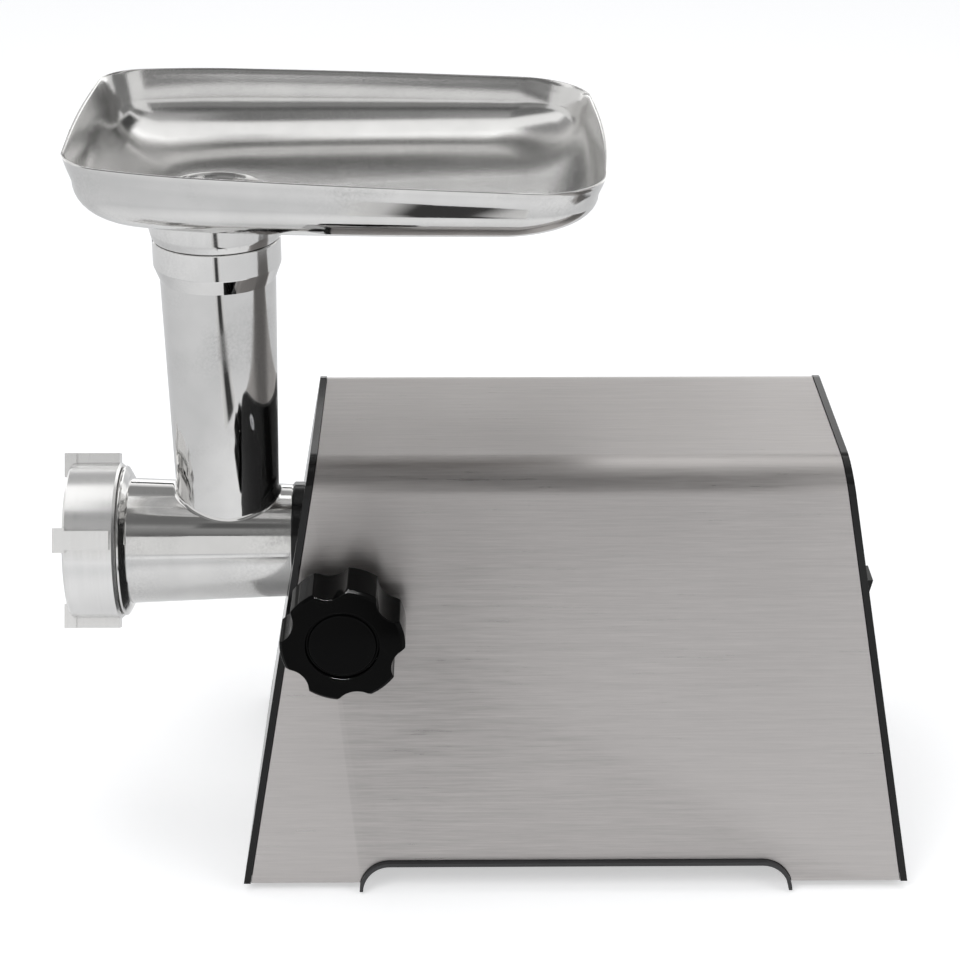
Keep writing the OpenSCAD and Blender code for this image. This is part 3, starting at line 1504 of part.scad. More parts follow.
module switch_frame() {
  deep = 22;
  body_half = switch_well_half + 1.4 - fixed_gap;
  body_w = rocker_w + 4 - 2 * fixed_gap;
  color([0.04, 0.04, 0.04]) placed() on_rear(switch_y, switch_z) difference() {
    union() {
      translate([0, 0, 0]) linear_extrude(frame_proud)
        soft_box(2 * switch_frame_half, switch_frame_w, 2);
      translate([-body_half, -body_w / 2, -deep]) cube([2 * body_half, body_w, deep + 1]);
    }
    translate([-switch_well_half, -rocker_w / 2 - move_gap, -12])
      cube([2 * switch_well_half, rocker_w + 2 * move_gap, 20]);
    translate([0, 0, rocker_pivot]) rotate([90, 0, 0])
      cylinder(d = pivot_d + 2 * run_fit, h = rocker_w + 2.4, center = true);
  }
}

module switch_rocker() {
  color([0.03, 0.03, 0.03]) placed() on_rear(switch_y, switch_z)
    translate([0, 0, rocker_pivot]) rotate([0, rocker_tilt, 0]) union() {
      rotate([90, 0, 0]) linear_extrude(rocker_w, center = true) translate([0, -rocker_pivot])
        polygon([
          [-rocker_half, rocker_out], [-rocker_half + 0.6, -3], [-3, -8.6], [3, -8.6],
          [rocker_half - 0.6, -3], [rocker_half, rocker_out], [5, 3.6], [0, 3.2], [-5, 3.6]
        ]);
      rotate([90, 0, 0]) cylinder(d = pivot_d, h = rocker_w + 2, center = true);
    }
}

module reset_breaker() {
  color([0.07, 0.07, 0.07]) placed() on_rear(switch_y, reset_z) difference() {
    union() {
      cylinder(d = reset_d + 8, h = 1.5);
      translate([0, 0, -8]) cylinder(d = reset_d + 5 - 2 * fixed_gap, h = 9);
      translate([-10, -8, -30]) cube([20, 16, 26]);
    }
    translate([0, 0, -8]) cylinder(d = reset_d + 2 * move_gap, h = 20);
  }
}

reset_out = 3;
reset_deep = 6;

module reset_button() {
  color([0.5, 0.05, 0.04]) placed() on_rear(switch_y, reset_z) union() {
    translate([0, 0, -reset_deep]) cylinder(d = reset_d, h = reset_deep + reset_out - 0.6);
    translate([0, 0, reset_out - 0.6]) cylinder(d1 = reset_d, d2 = reset_d - 1.2, h = 0.6);
  }
}

module cord_gland() {
  wall = panel_t * cos(end_lean);
  color([0.06, 0.06, 0.06]) placed() on_rear(gland_y, gland_z) difference() {
    union() {
      cylinder(d1 = gland_d + 6, d2 = gland_d + 4, h = 2.5);
      translate([0, 0, -12]) cylinder(d = gland_d - 2 * fixed_gap, h = 13);
      translate([0, 0, -wall - 4.2]) cylinder(d = gland_d + 5, h = 4.1);
    }
    translate([0, 0, -13]) cylinder(d = gland_hole_d, h = 20);
  }
}

steel_shell();
front_panel();
rear_panel();
tie_rods();
panel_screws();
base_tray();
rubber_feet();
base_screws();
socket_bezel();
head_socket();
lock_bush();
lock_screw();
lock_knob();
knob_cap();
grinder_head();
ring_nut();
grinding_plate();
cutting_blade();
auger();
auger_stud();
auger_drive();
auger_washer();
tray_pan();
tray_neck();
gearbox_housing();
gearbox_cover();
cover_screws();
output_bearing();
shaft_bushes();
output_shaft();
output_gear();
drive_coupler();
middle_shaft();
middle_gear();
middle_pinion();
first_shaft();
first_gear();
first_pinion();
motor_front_bracket();
motor_rear_bracket();
motor_bolts();
motor_bearings();
stator_stack();
field_coils();
armature_core();
armature_windings();
motor_shaft();
motor_pinion();
commutator();
cooling_fan();
brush_holders();
carbon_brushes();
control_board();
board_parts();
terminal_block();
switch_frame();
switch_rocker();
reset_breaker();
reset_button();
cord_gland();
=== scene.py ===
"""Looks of the electric meat grinder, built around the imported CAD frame. Metres, CAD frame."""
import json
import math

import bmesh
import bpy
from mathutils import Matrix, Vector


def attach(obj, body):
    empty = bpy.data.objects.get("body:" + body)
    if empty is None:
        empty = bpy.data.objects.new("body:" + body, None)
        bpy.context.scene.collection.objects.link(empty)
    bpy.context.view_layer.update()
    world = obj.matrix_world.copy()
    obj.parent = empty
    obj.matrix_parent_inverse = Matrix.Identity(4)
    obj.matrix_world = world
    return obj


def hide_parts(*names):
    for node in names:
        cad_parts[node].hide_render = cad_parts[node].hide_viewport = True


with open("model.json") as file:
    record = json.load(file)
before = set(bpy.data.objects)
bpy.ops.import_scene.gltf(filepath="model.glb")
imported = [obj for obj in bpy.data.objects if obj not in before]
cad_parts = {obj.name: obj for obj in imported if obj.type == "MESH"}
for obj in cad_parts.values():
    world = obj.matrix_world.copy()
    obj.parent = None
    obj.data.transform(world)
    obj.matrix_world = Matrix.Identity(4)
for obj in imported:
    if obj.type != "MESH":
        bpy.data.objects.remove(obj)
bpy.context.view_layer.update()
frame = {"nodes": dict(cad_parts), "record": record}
scene = bpy.context.scene
MM = 0.001

# The CAD's layout is about the body's centre. The finished frame is shifted by this much, in millimetres.
SHIFT = Vector((39.5316, 5.46101, 0.0))
# The head's axis above the table and the throat's place, in the CAD's layout
AXIS_H = 125.9
THROAT_X = -149.163


def place(x, y, z):
    """A point of the CAD's own layout, in millimetres, as a point of the finished frame in metres."""
    return (Vector((x, y, z)) + SHIFT) * MM


# ---------------------------------------------------------------- camera and lamps

# The photograph's camera: its turns down, right and about its own line in degrees, lengths in millimetres
CAMERA_TURNS = (24.616, 0.658, 0.117)
CAMERA_AIM = Vector((-40.33, 0.0, 154.37))
CAMERA_REACH = 1026.6
SENSOR = 36.0
LENS = SENSOR * 2377.68 / 960.0


def set_camera():
    """The photograph's view: a long lens that looks down, a little to the right and a little turned."""
    pitch, yaw, roll = (math.radians(turn) for turn in CAMERA_TURNS)
    forward = Vector((math.sin(yaw) * math.cos(pitch), math.cos(yaw) * math.cos(pitch), -math.sin(pitch)))
    right = forward.cross(Vector((0, 0, 1))).normalized()
    up = right.cross(forward)
    r = right * math.cos(roll) + up * math.sin(roll)
    u = -right * math.sin(roll) + up * math.cos(roll)
    at = (CAMERA_AIM + SHIFT - forward * CAMERA_REACH) * MM
    data = bpy.data.cameras.new("camera")
    data.sensor_width = SENSOR
    data.lens = LENS
    data.clip_end = 20.0
    cam = bpy.data.objects.new("camera", data)
    cam.matrix_world = Matrix((
        (r.x, u.x, -forward.x, at.x), (r.y, u.y, -forward.y, at.y),
        (r.z, u.z, -forward.z, at.z), (0, 0, 0, 1)))
    scene.collection.objects.link(cam)
    scene.camera = cam


def area_light(name, at, aim, size, power):
    """A rectangular lamp at a place, turned towards another."""
    data = bpy.data.lights.new(name, "AREA")
    data.shape = "RECTANGLE"
    data.size, data.size_y = size
    data.energy = power
    lamp = bpy.data.objects.new(name, data)
    lamp.location = at
    lamp.rotation_euler = (Vector(aim) - Vector(at)).to_track_quat("-Z", "Y").to_euler()
    scene.collection.objects.link(lamp)
    return lamp


# ---------------------------------------------------------------- node material kit

class Nodes:
    """Short names for the shader nodes that the materials below are made from."""

    def __init__(self, name):
        self.mat = bpy.data.materials.new(name)
        self.mat.use_nodes = True
        self.tree = self.mat.node_tree
        self.shader = self.tree.nodes["Principled BSDF"]
        self.point = self.add("ShaderNodeTexCoord").outputs["Object"]

    def add(self, kind, **props):
        node = self.tree.nodes.new(kind)
        for key, value in props.items():
            setattr(node, key, value)
        return node

    def link(self, out, into):
        self.tree.links.new(out, into)

    def put(self, node, socket, value):
        if hasattr(value, "is_linked"):
            self.link(value, node.inputs[socket])
        else:
            node.inputs[socket].default_value = value

    def stretched(self, scale):
        node = self.add("ShaderNodeMapping")
        self.link(self.point, node.inputs["Vector"])
        node.inputs["Scale"].default_value = scale
        return node.outputs[0]

    def noise(self, scale=(1, 1, 1), size=1.0, detail=4.0, rough=0.55, warp=0.0):
        node = self.add("ShaderNodeTexNoise")
        self.link(self.stretched(scale), node.inputs["Vector"])
        self.put(node, "Scale", size)
        self.put(node, "Detail", detail)
        self.put(node, "Roughness", rough)
        self.put(node, "Distortion", warp)
        return node.outputs["Fac"]

    def ramp(self, value, low, high, at_low=0.0, at_high=1.0):
        node = self.add("ShaderNodeMapRange")
        self.put(node, "Value", value)
        self.put(node, "From Min", low)
        self.put(node, "From Max", high)
        self.put(node, "To Min", at_low)
        self.put(node, "To Max", at_high)
        return node.outputs["Result"]

    def tones(self, value, stops):
        """Greys along a value: stops holds (value, grey) pairs."""
        node = self.add("ShaderNodeValToRGB")
        self.link(value, node.inputs[0])
        held = node.color_ramp.elements
        while len(held) < len(stops):
            held.new(0.5)
        for stop, (at, grey) in zip(held, stops):
            stop.position = at
            stop.color = (grey, grey, grey, 1)
        return node.outputs[0]

    def math(self, kind, a, b=0.0):
        node = self.add("ShaderNodeMath", operation=kind)
        self.put(node, 0, a)
        self.put(node, 1, b)
        return node.outputs[0]

    def mix(self, share, a, b):
        node = self.add("ShaderNodeMix", data_type="RGBA")
        self.put(node, 0, share)
        for index, value in ((6, a), (7, b)):
            if hasattr(value, "is_linked"):
                self.link(value, node.inputs[index])
            else:
                node.inputs[index].default_value = (*value, 1.0)
        return node.outputs[2]

    def bump(self, height, strength, distance, under=None):
        node = self.add("ShaderNodeBump")
        self.put(node, "Height", height)
        self.put(node, "Strength", strength)
        self.put(node, "Distance", distance)
        if under is not None:
            self.link(under, node.inputs["Normal"])
        return node.outputs["Normal"]

    def edges(self, low=0.505, high=0.56):
        """0 on flat ground, 1 on outward edges."""
        geo = self.add("ShaderNodeNewGeometry")
        return self.ramp(geo.outputs["Pointiness"], low, high)

    def finish(self, color, rough, normal=None, metallic=0.0, **constants):
        self.put(self.shader, "Base Color", color if hasattr(color, "is_linked") else (*color, 1.0))
        self.put(self.shader, "Roughness", rough)
        self.shader.inputs["Metallic"].default_value = metallic
        if normal is not None:
            self.link(normal, self.shader.inputs["Normal"])
        for socket, value in constants.items():
            self.shader.inputs[socket.replace("_", " ")].default_value = value
        return self.mat


def scaled(color, k):
    return tuple(min(1.0, c * k) for c in color)


def brushed_metal(name, color, rough=(0.26, 0.4), bump=0.25, spread=0.3):
    """Sheet with long fine scratches along the machine, soft stains and worn edges."""
    n = Nodes(name)
    lines = n.noise((45.0, 1300.0, 1300.0), detail=3.0, rough=0.7)
    bands = n.noise((12.0, 480.0, 480.0), detail=2.0, rough=0.5)
    cloud = n.noise(size=14.0, detail=3.0)
    tone = n.math("ADD", n.math("MULTIPLY", lines, 0.65), n.math("MULTIPLY", bands, 0.35))
    base = n.mix(n.ramp(tone, 0.32, 0.68), scaled(color, 1 - spread), scaled(color, 1 + spread * 0.6))
    base = n.mix(n.math("MULTIPLY", n.ramp(cloud, 0.35, 0.75), 0.25), base, scaled(color, 0.94))
    base = n.mix(n.math("MULTIPLY", n.edges(), 0.6), base, scaled(color, 1.3))
    gloss = n.math("ADD", n.ramp(tone, 0.3, 0.7, rough[0], rough[1]), n.ramp(cloud, 0.3, 0.7, -0.02, 0.03))
    node = n.add("ShaderNodeTangent", direction_type="UV_MAP")
    n.link(node.outputs[0], n.shader.inputs["Tangent"])
    return n.finish(base, gloss, n.bump(lines, bump, 0.00002), metallic=1.0, Anisotropic=0.75)


# Where the satin zones begin, in metres: above the tray's floor, and below the tray and left of the flange
TRAY_ZONE = (0.2838, 0.2842)
RING_ZONE_X, RING_ZONE_Z = (-0.1552, -0.1556), (0.21, 0.2)


def satin_zones(n):
    """Two masks, 1 inside the tray and 1 on the ring nut: both castings are left satin there."""
    split = n.add("ShaderNodeSeparateXYZ")
    n.link(n.point, split.inputs[0])
    facing = n.add("ShaderNodeSeparateXYZ")
    n.link(n.tree.nodes["Texture Coordinate"].outputs["Normal"], facing.inputs[0])
    inside = n.math("MULTIPLY", n.ramp(facing.outputs[2], -0.02, 0.06), n.ramp(split.outputs[2], *TRAY_ZONE))
    ring = n.math("MULTIPLY", n.ramp(split.outputs[0], *RING_ZONE_X), n.ramp(split.outputs[2], *RING_ZONE_Z))
    return inside, ring


def cast_metal(name, color, rough=(0.05, 0.2), grain=900.0, patch=22.0, bump=0.12, zones=False):
    """Polished casting: mirror ground with patches of fine satin grain and bright edges."""
    n = Nodes(name)
    speck = n.noise(size=grain, detail=3.0, rough=0.6)
    where = n.ramp(n.noise(size=patch, detail=3.0, rough=0.6, warp=0.6), 0.44, 0.66)
    if zones:
        tray, ring = satin_zones(n)
        where = n.math("MULTIPLY", where, n.ramp(n.math("MAXIMUM", tray, ring), 0.0, 1.0, 1.0, 0.12))
    swirl = n.noise(size=55.0, detail=2.0)
    base = n.mix(n.ramp(swirl, 0.3, 0.7), scaled(color, 0.95), scaled(color, 1.03))
    base = n.mix(n.math("MULTIPLY", where, n.ramp(speck, 0.35, 0.65)), base, scaled(color, 0.86))
    base = n.mix(n.math("MULTIPLY", n.edges(), 0.5), base, scaled(color, 1.15))
    gloss = n.ramp(n.math("MULTIPLY", where, n.ramp(speck, 0.3, 0.7, 0.6, 1.0)), 0.0, 1.0, rough[0], rough[1])
    height = n.math("MULTIPLY", speck, n.ramp(where, 0.0, 1.0, 0.15, 1.0))
    if zones:
        height = n.math("MULTIPLY", height, n.ramp(ring, 0.0, 1.0, 1.0, 0.1))
    normal = n.bump(height, bump, 0.00004)
    if zones:
        turned = n.noise((1500.0, 25.0, 25.0), detail=2.0, rough=0.6)
        gloss = n.math("ADD", gloss, n.math("MULTIPLY", tray, n.ramp(speck, 0.3, 0.7, 0.08, 0.16)))
        gloss = n.math("ADD", gloss, n.math("MULTIPLY", ring, n.ramp(turned, 0.3, 0.7, 0.16, 0.21)))
        grains = n.noise(size=1500.0, detail=2.0, rough=0.7)
        normal = n.bump(grains, n.math("MULTIPLY", tray, 0.6), 0.00005, normal)
        satin = n.mix(n.ramp(turned, 0.35, 0.65), (0.79, 0.785, 0.775), (0.83, 0.825, 0.815))
        base = n.mix(n.math("MULTIPLY", ring, 0.9), base, satin)
        n.link(n.ramp(ring, 0.0, 1.0, 1.0, 0.8), n.shader.inputs["Metallic"])
    return n.finish(base, gloss, normal, metallic=1.0)


def moulded(name, color, rough=(0.16, 0.26), grain=1400.0, bump=0.06, worn=1.8, spec=0.5):
    """Moulded plastic or rubber: fine grain, faint clouding and rubbed, lighter edges."""
    n = Nodes(name)
    speck = n.noise(size=grain, detail=3.0, rough=0.65)
    cloud = n.noise(size=26.0, detail=4.0)
    base = n.mix(n.ramp(cloud, 0.3, 0.7), scaled(color, 0.85), scaled(color, 1.2))
    base = n.mix(n.math("MULTIPLY", n.ramp(speck, 0.55, 0.8), 0.3), base, scaled(color, 1.5))
    base = n.mix(n.math("MULTIPLY", n.edges(), 0.5), base, tuple(c * worn + 0.002 for c in color))
    gloss = n.ramp(n.math("ADD", n.math("MULTIPLY", cloud, 0.7), n.math("MULTIPLY", speck, 0.3)), 0.35, 0.65, *rough)
    normal = n.bump(speck, bump, 0.00005)
    return n.finish(base, gloss, normal, Specular_IOR_Level=spec)


def turned_metal(name, color, axis=0, rough=(0.18, 0.34), bump=0.2, fine=1500.0):
    """Turned or ground steel: fine rings across one axis and a trace of oil."""
    n = Nodes(name)
    scale = tuple(fine if i == axis else 40.0 for i in range(3))
    rings = n.noise(scale, detail=2.0, rough=0.6)
    cloud = n.noise(size=60.0, detail=3.0)
    base = n.mix(n.ramp(rings, 0.35, 0.65), scaled(color, 0.88), scaled(color, 1.08))
    base = n.mix(n.math("MULTIPLY", n.ramp(cloud, 0.55, 0.8), 0.4), base, scaled(color, 0.7))
    base = n.mix(n.math("MULTIPLY", n.edges(), 0.5), base, scaled(color, 1.3))
    gloss = n.math("ADD", n.ramp(rings, 0.3, 0.7, *rough), n.ramp(cloud, 0.4, 0.8, 0.0, 0.08))
    return n.finish(base, gloss, n.bump(rings, bump, 0.00002), metallic=1.0)


# Metres between two bands of the wave texture at a scale of 1
WAVE_PERIOD = 0.314


def layered(name, color, axis=0, spacing=0.005, rough=(0.35, 0.5), metallic=0.6, contrast=0.35):
    """Stacked sheets or wound wire: regular bands across one axis, broken up by noise."""
    n = Nodes(name)
    wave = n.add("ShaderNodeTexWave", bands_direction="XYZ"[axis], wave_profile="SIN")
    n.link(n.point, wave.inputs["Vector"])
    n.put(wave, "Scale", WAVE_PERIOD / spacing)
    n.put(wave, "Distortion", 1.5)
    n.put(wave, "Detail", 2.0)
    bands = wave.outputs["Fac"]
    cloud = n.noise(size=90.0, detail=4.0)
    base = n.mix(bands, scaled(color, 1 - contrast), scaled(color, 1 + contrast * 0.5))
    base = n.mix(n.math("MULTIPLY", n.ramp(cloud, 0.45, 0.75), 0.45), base, scaled(color, 0.6))
    gloss = n.ramp(cloud, 0.3, 0.7, *rough)
    return n.finish(base, gloss, n.bump(bands, 0.5, 0.00015), metallic=metallic)


# Colours of the steel cover and of the polished castings, then a material for each of the CAD's slots
STEEL = (0.455, 0.436, 0.427)
CAST = (0.70, 0.695, 0.685)
MATS = {
    "brushed_stainless": brushed_metal("brushed_stainless", STEEL),
    "polished_aluminium": cast_metal("polished_aluminium", CAST, zones=True),
    "gloss_black": moulded("gloss_black", (0.006, 0.006, 0.006), rough=(0.08, 0.14), bump=0.03, spec=0.25),
    "matte_black": moulded("matte_black", (0.022, 0.022, 0.023), rough=(0.4, 0.55), bump=0.2),
    "knob_black": moulded("knob_black", (0.002, 0.002, 0.002), rough=(0.06, 0.1), bump=0.03, worn=1.0, spec=0.05),
    "black_rubber": moulded("black_rubber", (0.03, 0.03, 0.031), rough=(0.6, 0.8), bump=0.35),
    "plain_steel": turned_metal("plain_steel", (0.56, 0.56, 0.57)),
    "cutting_steel": turned_metal("cutting_steel", (0.62, 0.62, 0.62), axis=1, rough=(0.14, 0.26), fine=2200.0),
    "bearing_steel": turned_metal("bearing_steel", (0.7, 0.7, 0.72), rough=(0.06, 0.14), bump=0.08),
    "gear_steel": turned_metal("gear_steel", (0.40, 0.39, 0.38), rough=(0.28, 0.44)),
    "cast_alloy": cast_metal("cast_alloy", (0.52, 0.53, 0.54), rough=(0.35, 0.55), grain=700.0, bump=0.5),
    "nylon": moulded("nylon", (0.74, 0.71, 0.62), rough=(0.3, 0.42), worn=1.1),
    "bronze": cast_metal("bronze", (0.56, 0.38, 0.2), rough=(0.3, 0.5), grain=1800.0, bump=0.3),
    "laminated_iron": layered("laminated_iron", (0.17, 0.17, 0.18)),
    "copper": layered("copper", (0.66, 0.27, 0.12), axis=1, spacing=0.007, metallic=0.9, rough=(0.2, 0.35)),
    "carbon": moulded("carbon", (0.03, 0.03, 0.032), rough=(0.45, 0.6), bump=0.3),
    "board_green": moulded("board_green", (0.02, 0.12, 0.05), rough=(0.22, 0.34)),
    "board_parts": moulded("board_parts", (0.05, 0.05, 0.055), rough=(0.3, 0.45)),
    "reset_red": moulded("reset_red", (0.42, 0.02, 0.012), rough=(0.16, 0.26), worn=1.3),
}


# ---------------------------------------------------------------- mesh kit

def add_piece(name, mesh, body, slot, *nodes):
    """Links a mesh as a piece, gives it its material, hangs it on its body's empty and hides the CAD nodes it takes
    the place of.
    """
    obj = bpy.data.objects.new(name, mesh)
    scene.collection.objects.link(obj)
    mesh.materials.clear()
    mesh.materials.append(MATS[slot])
    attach(obj, body)
    if nodes:
        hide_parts(*nodes)
    return obj


def sharpen(bm, degrees):
    """Smooth faces, with sharp edges where the surface turns by more than an angle."""
    limit = math.radians(degrees)
    for face in bm.faces:
        face.smooth = True
    for edge in bm.edges:
        edge.smooth = len(edge.link_faces) == 2 and edge.calc_face_angle(math.pi) < limit


def bake_modifiers(obj):
    """Replaces an object's mesh by what its modifiers make of it."""
    graph = bpy.context.evaluated_depsgraph_get()
    mesh = bpy.data.meshes.new_from_object(obj.evaluated_get(graph))
    obj.modifiers.clear()
    obj.data = mesh


def soften(obj, width, segments=2, degrees=30):
    """Rounds the edges by a small width and keeps flat faces flat."""
    if width:
        bevel = obj.modifiers.new("bevel", "BEVEL")
        bevel.width = width * MM
        bevel.segments = segments
        bevel.limit_method = "ANGLE"
        bevel.angle_limit = math.radians(degrees)
        bevel.use_clamp_overlap = True
        bevel.harden_normals = False
    weight = obj.modifiers.new("weight", "WEIGHTED_NORMAL")
    weight.keep_sharp = True
    bpy.context.view_layer.update()
    bake_modifiers(obj)


NODE_SLOT = {row["node"]: row["material_slot"] for row in frame["record"]["subparts"]}
NODE_BODY = {n: body for body, nodes in frame["record"]["behaviour"]["bodies"].items() for n in nodes}


def skin(node, width=0.3, segments=2, degrees=30, uv=None):
    """A piece that stands for a CAD node: the same solid with softened edges and smooth faces."""
    mesh = frame["nodes"][node].data.copy()
    bm = bmesh.new()
    bm.from_mesh(mesh)
    bmesh.ops.remove_doubles(bm, verts=bm.verts, dist=2e-6)
    bmesh.ops.dissolve_limit(bm, angle_limit=math.radians(0.5), verts=bm.verts, edges=bm.edges)
    sharpen(bm, degrees)
    bm.to_mesh(mesh)
    bm.free()
    piece = add_piece(node + "_skin", mesh, NODE_BODY[node], NODE_SLOT[node], node)
    soften(piece, width, segments, degrees)
    if uv:
        layer = piece.data.uv_layers.new(name="along")
        for loop in piece.data.loops:
            layer.data[loop.index].uv = uv(piece.data.vertices[loop.vertex_index].co)
    return piece


def wall_between(bm, rings):
    """The faces between each closed ring of vertices and the next."""
    faces = []
    for a, b in zip(rings, rings[1:]):
        for i in range(len(a)):
            j = (i + 1) % len(a)
            faces.append(bm.faces.new((a[i], a[j], b[j], b[i])))
    return faces


def closed_stack(bm, rings):
    """Closed solid from a stack of rings: the walls between them and the two ends."""
    wall_between(bm, rings)
    bm.faces.new(rings[0])
    bm.faces.new(rings[-1])
    bmesh.ops.recalc_face_normals(bm, faces=bm.faces)
    return bm


def lathe(profile, steps):
    """Closed bmesh about the head's axis. profile holds (station along it, radius) in millimetres."""
    bm = bmesh.new()
    rings = []
    for along, radius in profile:
        ring = []
        for i in range(steps):
            a = 2 * math.pi * i / steps
            ring.append(bm.verts.new(place(along, radius * math.cos(a), AXIS_H + radius * math.sin(a))))
        rings.append(ring)
    return closed_stack(bm, rings)


def as_object(bm, name, index=0):
    """An object from a bmesh, its faces marked with one of the four material indices used below."""
    for face in bm.faces:
        face.material_index = index
    mesh = bpy.data.meshes.new(name)
    bm.to_mesh(mesh)
    bm.free()
    for _ in range(4):
        mesh.materials.append(None)
    obj = bpy.data.objects.new(name, mesh)
    scene.collection.objects.link(obj)
    return obj


def combine(target, other, operation):
    """Boolean of two solids. The other object is used up."""
    mod = target.modifiers.new("cut", "BOOLEAN")
    mod.operation = operation
    mod.solver = "EXACT"
    mod.object = other
    mod.material_mode = "INDEX"
    bpy.context.view_layer.update()
    bake_modifiers(target)
    bpy.data.objects.remove(other)


def revolved_normal(point, flat, axis, centre):
    """Normal at a point of a surface of revolution, from its face's own tilt along the axis."""
    if axis == "x":
        out = Vector((0, point.y - centre[0], point.z - centre[1]))
        line = Vector((1, 0, 0))
    else:
        out = Vector((point.x - centre[0], point.y - centre[1], 0))
        line = Vector((0, 0, 1))
    tilt = max(-1.0, min(1.0, flat.dot(line)))
    if out.length < 1e-9 or abs(tilt) > 0.9999:
        return flat
    out.normalize()
    if out.dot(flat) < 0:
        out.negate()
    return (out * math.sqrt(1 - tilt * tilt) + line * tilt).normalized()


def set_normals(mesh, rule):
    """Smooth shading with a given normal at each face corner: rule(face, point) returns it."""
    for face in mesh.polygons:
        face.use_smooth = True
    normals = [None] * len(mesh.loops)
    for face in mesh.polygons:
        for i in face.loop_indices:
            point = mesh.vertices[mesh.loops[i].vertex_index].co
            normals[i] = rule(face, point)
    mesh.normals_split_custom_set(normals)


# ---------------------------------------------------------------- grinding head

# Stations along the head's axis, then radii, all in millimetres
THREAD_END, FLANGE_X, BARREL_X, NECK_END = -213.513, -191.063, -121.563, -88.063
THREAD_CREST, THREAD_ROOT, THREAD_PITCH = 29.68, 29.45, 3.0
FLANGE_R, BARREL_FRONT_R, BARREL_REAR_R, NECK_R = 32.7, 27.3, 24.45, 24.0
PLATE_SEAT_X, PLATE_SEAT_R, BORE_END, BORE_R = -209.763, 27.4, -118.063, 21.5
SHAFT_HOLE_R, SOCKET_X, SOCKET_R = 8.55, -113.063, 20.6
# Where the bore's cutter starts, clear of the casting, and two corners of the key in the plate's seat
CUT_START, KEY_LOW, KEY_HIGH = -214.6, (-213.413, -1.2, 151.5), (-209.863, 1.2, 153.9)
# The throat: cone (radius at the foot, how much it widens, over which height), flanks (half depth at
# the foot, how much they thicken) and the radius of the flanks' arc, outside and inside
THROAT_OUT = ((22.0, 2.05, 97.65), (17.6, 7.95), 30.0)
THROAT_IN = ((18.8, 2.8, 106.15), (14.4, 8.7), 26.0)
CONE_FOOT, FLANK_FOOT, FLANK_HEIGHT, CREASE_BLEND = 150.35, 140.0, 98.0, 2.0
COLLAR_Z, COLLAR_TOP, COLLAR_R, COLLAR_BORE_R, FEED_TOP, FEED_R = 248.0, 265.5, 26.5, 24.8, 256.5, 21.6
# The soft line: points round it and across it, how far it reaches up, how deep its shell goes in
FILLET_RINGS, FILLET_STEPS, FILLET_REACH, SHELL_DEPTH = 160, 8, 2.0, 1.4
# Marks for the faces of the head while its normals are worked out
AXIAL, UPRIGHT, SOFT_LINE, FLAT = range(4)


def barrel_radius(x):
    """Radius of the barrel's slim cone at a station between the flange and the neck."""
    return BARREL_FRONT_R + (BARREL_REAR_R - BARREL_FRONT_R) * (x - FLANGE_X) / (BARREL_X - FLANGE_X)


def throat_radius(a, z, inside=False):
    """Distance from the throat's axis to its wall: a cone, slimmed front and back towards the barrel."""
    (foot_r, widening, height), (foot_half, thickening), side = THROAT_IN if inside else THROAT_OUT
    round_r = foot_r + widening * max(0.0, z - CONE_FOOT) / height
    slim = foot_half + thickening * (z - FLANK_FOOT) / FLANK_HEIGHT
    shift = (side - slim) * abs(math.sin(a))
    flank = -shift + math.sqrt(shift * shift + side * side - (side - slim) ** 2)
    near = max(0.0, CREASE_BLEND - abs(round_r - flank)) / CREASE_BLEND
    return min(round_r, flank) - near * near * CREASE_BLEND / 4


def throat_normal(point):
    """Outward normal of the throat's wall at a point in millimetres from the body's centre."""
    a = math.atan2(point.y, point.x - THROAT_X)
    r = throat_radius(a, point.z)
    turn = (throat_radius(a + 0.01, point.z) - throat_radius(a - 0.01, point.z)) / 0.02 / r
    rise = 0.04
    if point.z > CONE_FOOT + 0.5:
        rise = throat_radius(a, point.z + 0.5) - throat_radius(a, point.z - 0.5)
    c, s = math.cos(a), math.sin(a)
    return Vector((c + turn * s, s - turn * c, -rise)).normalized()


def throat_solid(rows, profile, inside=False, steps=224):
    """Closed bmesh of the oval wall at each height in rows, then round rings of (height, radius)."""
    bm = bmesh.new()
    rings = []
    for z, fixed in [(z, None) for z in rows] + profile:
        ring = []
        for i in range(steps):
            a = 2 * math.pi * i / steps
            r = fixed if fixed else throat_radius(a, z, inside)
            ring.append(bm.verts.new(place(THROAT_X + r * math.cos(a), r * math.sin(a), z)))
        rings.append(ring)
    return closed_stack(bm, rings)


